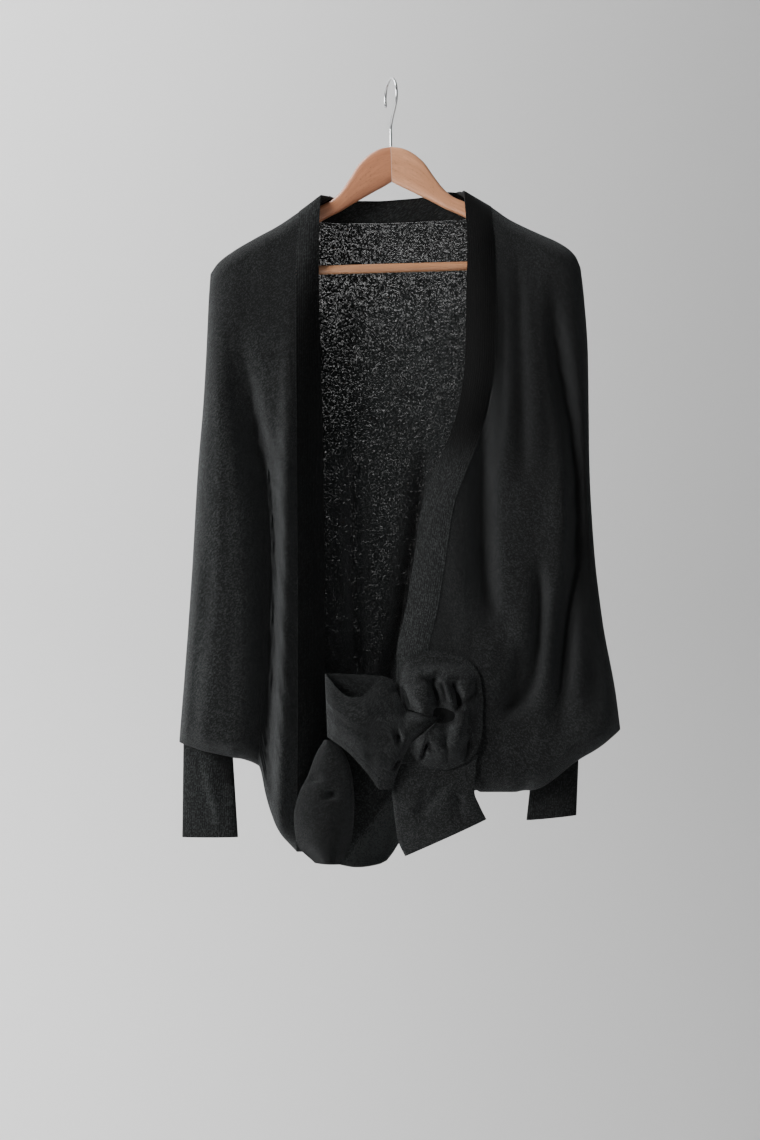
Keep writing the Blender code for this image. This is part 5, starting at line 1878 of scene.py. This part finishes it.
@dataclass
class Hanger:
    """The wooden arms and bar and the wire hook, in millimetres."""

    body: Body
    thick: float = 14.0
    tilt: float = math.radians(1.6)
    top: float = -80.4
    bar_radius: float = 5.4
    bar_drop: float = -227.0
    bar_half: float = 172.0
    wire: float = 1.7
    inner: float = 20.0
    turn: float = math.radians(18.0)
    curl: tuple[float, float] = (205, -48)
    kink: float = -57.6
    kinks: tuple = ((4.2, 9.0), (0.2, 2.5), (-0.6, -3.0), (0.0, -10.0))
    hook_foot: float = 0.3
    tip: tuple[float, float] = (0.45, 0.25)
    arm_sides: int = 44
    arm_square: tuple[float, float] = (0.6, 0.7)
    arm_steps: int = 110
    grain_stretch: float = 1.12
    grain_apart: float = 2.0

    # Lengths round an arm, the bar and the wire, and along the wire, for the grain
    ROUND_ARM = 0.06
    ROUND_BAR = 0.034
    ROUND_WIRE = 0.0107
    WIRE_LENGTH = 0.19

    def tilted(self, points: Any) -> Grid:
        """Turns points about the foot of the hook, as the hanger hangs.

        Args:
            points: The points.

        Returns:
            Turned copies.
        """
        turned = np.array(points, dtype=float)
        x, z = turned[..., 0].copy(), turned[..., 2] - self.top
        turned[..., 0] = x * math.cos(self.tilt) - z * math.sin(self.tilt)
        turned[..., 2] = self.top + x * math.sin(self.tilt) + z * math.cos(self.tilt)
        return turned

    @staticmethod
    def tube(name: str, rings: Grid, along_m: Grid, round_m: float, crease: float = 50) -> bpy.types.Object:
        """A closed solid through rings of points, with a grain map.

        Args:
            name: The piece's name.
            rings: Points by ring and place on it, in millimetres.
            along_m: Each ring's distance along the piece, in metres.
            round_m: Length round the piece, in metres.
            crease: Angle in degrees from which an edge is sharp.

        Returns:
            The object.
        """
        rows, count = rings.shape[:2]
        faces = [*quads(rows, count, True), tuple(range(count))[::-1],
                 tuple(range((rows - 1) * count, rows * count))]
        made = mesh_object(name, rings.reshape(-1, 3), faces, crease)
        turns = np.abs(np.linspace(-1, 1, count, endpoint=False)) * round_m / 2
        both = np.broadcast_arrays(np.asarray(along_m)[:, None], turns[None, :])
        both = np.stack(both, axis=-1).reshape(-1, 2)
        add_map(made, "grain", both)
        return made

    def arm(self, name: str, direction: int) -> bpy.types.Object:
        """Makes one arm, from its joint in the middle to its rounded end.

        Args:
            name: The piece's name.
            direction: -1 for the left, 1 for the right.

        Returns:
            The object.
        """
        stations = refined(ARM_STATIONS, self.arm_steps)
        top, bottom = between(ARM_ROWS, stations, 1)[:, None], between(ARM_ROWS, stations, 2)[:, None]
        turn = np.linspace(0, 2 * math.pi, self.arm_sides, endpoint=False)[None, :] + math.pi / self.arm_sides
        sideways = np.sign(np.cos(turn)) * np.abs(np.cos(turn)) ** self.arm_square[0] * self.thick / 2
        upward = np.sign(np.sin(turn)) * np.abs(np.sin(turn)) ** self.arm_square[1] * (top - bottom) / 2
        bow = self.body.middle(stations, 0)[:, None]
        rings = stacked(direction * stations[:, None], bow + sideways, (top + bottom) / 2 + upward)
        grain = stations * MM * self.grain_stretch + (self.grain_apart if direction > 0 else 0.0)
        return self.tube(name, self.tilted(rings), grain, self.ROUND_ARM)

    @staticmethod
    def sweep(path: Grid, radius: float, sides: int) -> Grid:
        """Sets rings round a path.

        Args:
            path: Points of the path.
            radius: The rings' radius.
            sides: Points on each ring.

        Returns:
            Points by ring and place on it.
        """
        ahead = np.gradient(path, axis=0)
        ahead = ahead / np.linalg.norm(ahead, axis=1)[:, None]
        side = np.cross(ahead[0], (0.0, 0.0, 1.0) if abs(ahead[0][2]) < 0.9 else (1.0, 0.0, 0.0))
        turns = np.linspace(0, 2 * math.pi, sides, endpoint=False)
        rings = []
        for point, direction in zip(path, ahead):
            side = side - direction * np.dot(side, direction)
            side = side / np.linalg.norm(side)
            up = np.cross(direction, side)
            rings.append([point + radius * (math.cos(turn) * side + math.sin(turn) * up) for turn in turns])
        return np.array(rings)

    def bar(self) -> bpy.types.Object:
        """Makes the round bar between the arms.

        Returns:
            The object.
        """
        place = float(self.body.middle(self.bar_half, 0))
        across = np.linspace(-self.bar_half, self.bar_half, 60)
        path = self.tilted(stacked(across, np.array(place), np.array(self.bar_drop)))
        rings = self.sweep(path, self.bar_radius, 28)
        return self.tube("bar_wood", rings, (across + 900) * MM, self.ROUND_BAR)

    def hook(self) -> bpy.types.Object:
        """Makes the wire hook: over the rail from behind, round in front and down into the wood.

        Returns:
            The object.
        """
        bend = self.inner + self.wire
        turns = np.linspace(*np.radians(self.curl), 24)
        flat = [(bend * math.cos(turn), self.wire - bend + bend * math.sin(turn)) for turn in turns]
        flat += [(out, self.kink + height) for out, height in self.kinks]
        flat.append((0.0, self.top + self.hook_foot))
        aside, ahead = math.sin(self.turn), math.cos(self.turn)
        path = np.array([(out * aside, -out * ahead, height) for out, height in flat])
        fine = along(path, np.linspace(0, 1, 150))
        rings = self.sweep(fine, self.wire, 18)
        tip = rings[:1] * self.tip[0] + fine[0] * (1 - self.tip[0]) + (fine[0] - fine[1]) * self.tip[1]
        rings = np.concatenate([tip, rings])
        places = np.linspace(0, self.WIRE_LENGTH, len(rings))
        return self.tube("hook_wire", rings, places, self.ROUND_WIRE, 60)

    def build(self, wood_left: bpy.types.Material, wood_right: bpy.types.Material,
              wood_bar: bpy.types.Material, steel: bpy.types.Material) -> None:
        """Builds and dresses the arms, the bar and the hook.

        Args:
            wood_left: Finish of the left arm.
            wood_right: Finish of the right arm.
            wood_bar: Finish of the bar.
            steel: Finish of the hook.
        """
        finished(self.arm("arm_left_wood", -1), wood_left, "beech", "hanger_arm_left")
        finished(self.arm("arm_right_wood", 1), wood_right, "beech", "hanger_arm_right")
        finished(self.bar(), wood_bar, "beech", "hanger_bar")
        finished(self.hook(), steel, "steel", "hook")


# ---- The setting ----


class Lamp(NamedTuple):
    """A soft square light: its name, its place and aim, its size, power and colour."""

    name: str
    place: tuple[float, float, float]
    aim: tuple[float, float, float]
    size: float
    power: float
    colour: tuple[float, float, float]


LAMPS = (
    Lamp("key", (-3.1, -2.0, 0.8), (0.0, 0.0, -0.5), 1.5, 200.0, (1.0, 0.998, 0.99)),
    Lamp("fill", (1.6, -3.2, 0.2), (0.0, 0.0, -0.5), 2.4, 9.0, (0.99, 1.0, 1.0)),
    Lamp("wall_wash", (-2.0, -0.1, 2.4), (-1.3, 1.3, 0.0), 1.6, 150.0, (1.0, 1.0, 1.0)),
)


@dataclass
class Setting:
    """Pale wall and floor, soft light from the front left, and the camera. Sizes in metres."""

    wall_place: float = 1.3
    floor_height: float = -1.55
    half_width: float = 4.0
    sweep_reach: float = 0.9
    top: float = 2.4
    camera_distance: float = 3.0
    camera_across: float = -0.013
    camera_height: float = -0.588
    seen_height: float = 1.368
    sensor: float = 36.0
    front: float = -6.0
    curve_steps: int = 17
    sky: tuple[float, float, float, float] = (0.95, 0.97, 1.0, 1.0)
    sky_strength: float = 0.14

    def backdrop(self, paint: bpy.types.Material) -> None:
        """Makes a floor that curves up into the wall, as one sheet.

        Args:
            paint: Its finish.
        """
        steps = np.linspace(0, math.pi / 2, self.curve_steps)
        line = [(self.front, self.floor_height)]
        line += [(self.wall_place - self.sweep_reach + self.sweep_reach * math.sin(turn),
                  self.floor_height + self.sweep_reach * (1 - math.cos(turn))) for turn in steps]
        line.append((self.wall_place, self.top))
        points = [(side, y, z) for y, z in line for side in (-self.half_width, self.half_width)]
        faces = [(2 * row, 2 * row + 1, 2 * row + 3, 2 * row + 2) for row in range(len(line) - 1)]
        mesh = bpy.data.meshes.new("backdrop")
        mesh.from_pydata(points, [], faces)
        mesh.shade_smooth()
        mesh.materials.append(paint)
        placed("backdrop", mesh)

    @staticmethod
    def light(lamp: Lamp) -> None:
        """Sets up a light that looks at its aim.

        Args:
            lamp: Its place and strength.
        """
        data = bpy.data.lights.new(lamp.name, "AREA")
        data.size, data.energy, data.color = lamp.size, lamp.power, lamp.colour
        made = placed(lamp.name, data)
        ahead = np.subtract(lamp.aim, lamp.place)
        made.location = lamp.place
        made.rotation_euler = (math.atan2(math.hypot(ahead[0], ahead[1]), -ahead[2]), 0.0,
                               math.atan2(ahead[0], -ahead[1]) + math.pi)

    def build(self, paint: bpy.types.Material) -> None:
        """Builds the backdrop, the lights, the world and the camera.

        Args:
            paint: Finish of the backdrop.
        """
        self.backdrop(paint)
        for lamp in LAMPS:
            self.light(lamp)
        world = bpy.data.worlds.new("studio")
        world.use_nodes = True
        sky = world.node_tree.nodes["Background"]
        sky.inputs["Color"].default_value = self.sky
        sky.inputs["Strength"].default_value = self.sky_strength
        bpy.context.scene.world = world
        camera = bpy.data.cameras.new("camera")
        camera.sensor_width = self.sensor
        camera.lens = self.sensor * self.camera_distance / self.seen_height
        made = placed("camera", camera)
        made.location = (self.camera_across, -self.camera_distance, self.camera_height)
        made.rotation_euler = (math.pi / 2, 0.0, 0.0)
        bpy.context.scene.camera = made


LEFT = Side(LEFT_OUTLINE, LEFT_SHOULDER, LEFT_HEM, LEFT_HEM, LEFT_EDGE, LEFT_EDGE, LEFT_FOLDS,
            cuff_inner=-183.0, joined_inner=-158.0, top_free=-73.5, top_rise=18.5, fold_shade=38.0)
RIGHT = Side(RIGHT_OUTLINE, RIGHT_SHOULDER, RIGHT_HEM, RIGHT_BACK_HEM, RIGHT_BASE, RIGHT_EDGE, RIGHT_FOLDS,
             cuff_inner=166.0, joined_inner=162.0, top_free=84.0, top_rise=17.5, fold_shade=24.0)
LEFT_CUFF = Cuff(
    top=-788.0, bottom=-907.0, top_middle=-219.0, bottom_middle=-216.0, top_half=28.0, bottom_half=32.5,
    place=-12.4, depth=7.0, slant=0.0, creases=(
        Fold(-1.6, 5, 5, ((-226, -820), (-216, -852), (-205, -903))),
        Fold(3.0, 8, 8, ((-214, -808), (-202, -826), (-195, -870))),
    ))
RIGHT_CUFF = Cuff(
    top=-804.0, bottom=-884.0, top_middle=198.0, bottom_middle=192.0, top_half=26.0, bottom_half=29.0,
    place=-9.6, depth=7.6, slant=3.0)
DARK_KNIT = (0.0125, 0.0135, 0.0135)


def main() -> None:
    """Builds the looks of the cardigan and its hanger round the frame."""
    logging.basicConfig(level=logging.INFO, format="%(message)s")
    knit = KnitFinish("knit_front", DARK_KNIT).build()
    sheer = KnitFinish("knit_back", DARK_KNIT, holes=0.62).build()
    rib = RibFinish("rib_knit", (0.0115, 0.0125, 0.0125)).build()
    thread = RibFinish("thread", (0.006, 0.0065, 0.0065)).build()
    wood_left = BeechFinish("beech_left", (0.50, 0.21, 0.105), (0.34, 0.13, 0.062)).build()
    wood_right = BeechFinish("beech_right", (0.74, 0.36, 0.195), (0.53, 0.24, 0.12)).build()
    wood_bar = BeechFinish("beech_bar", (0.52, 0.26, 0.135), (0.37, 0.17, 0.08)).build()
    steel = SteelFinish("bright_wire", (0.62, 0.62, 0.63)).build()
    paint = PaintFinish("pale_paint", (0.84, 0.84, 0.84)).build()
    Setting().build(paint)
    body = Body(LEFT, RIGHT)
    body.build(knit, sheer, rib)
    Cuffs(LEFT_CUFF, RIGHT_CUFF).build(rib)
    Tie(body).build(knit)
    Hanger(body).build(wood_left, wood_right, wood_bar, steel)
    stitches = SeamStitches()
    seams = [stitches.path(body, name) for name in ("front_left", "front_right")]
    stitches.build("band_stitches", seams, thread)


if __name__ == "__main__":
    main()
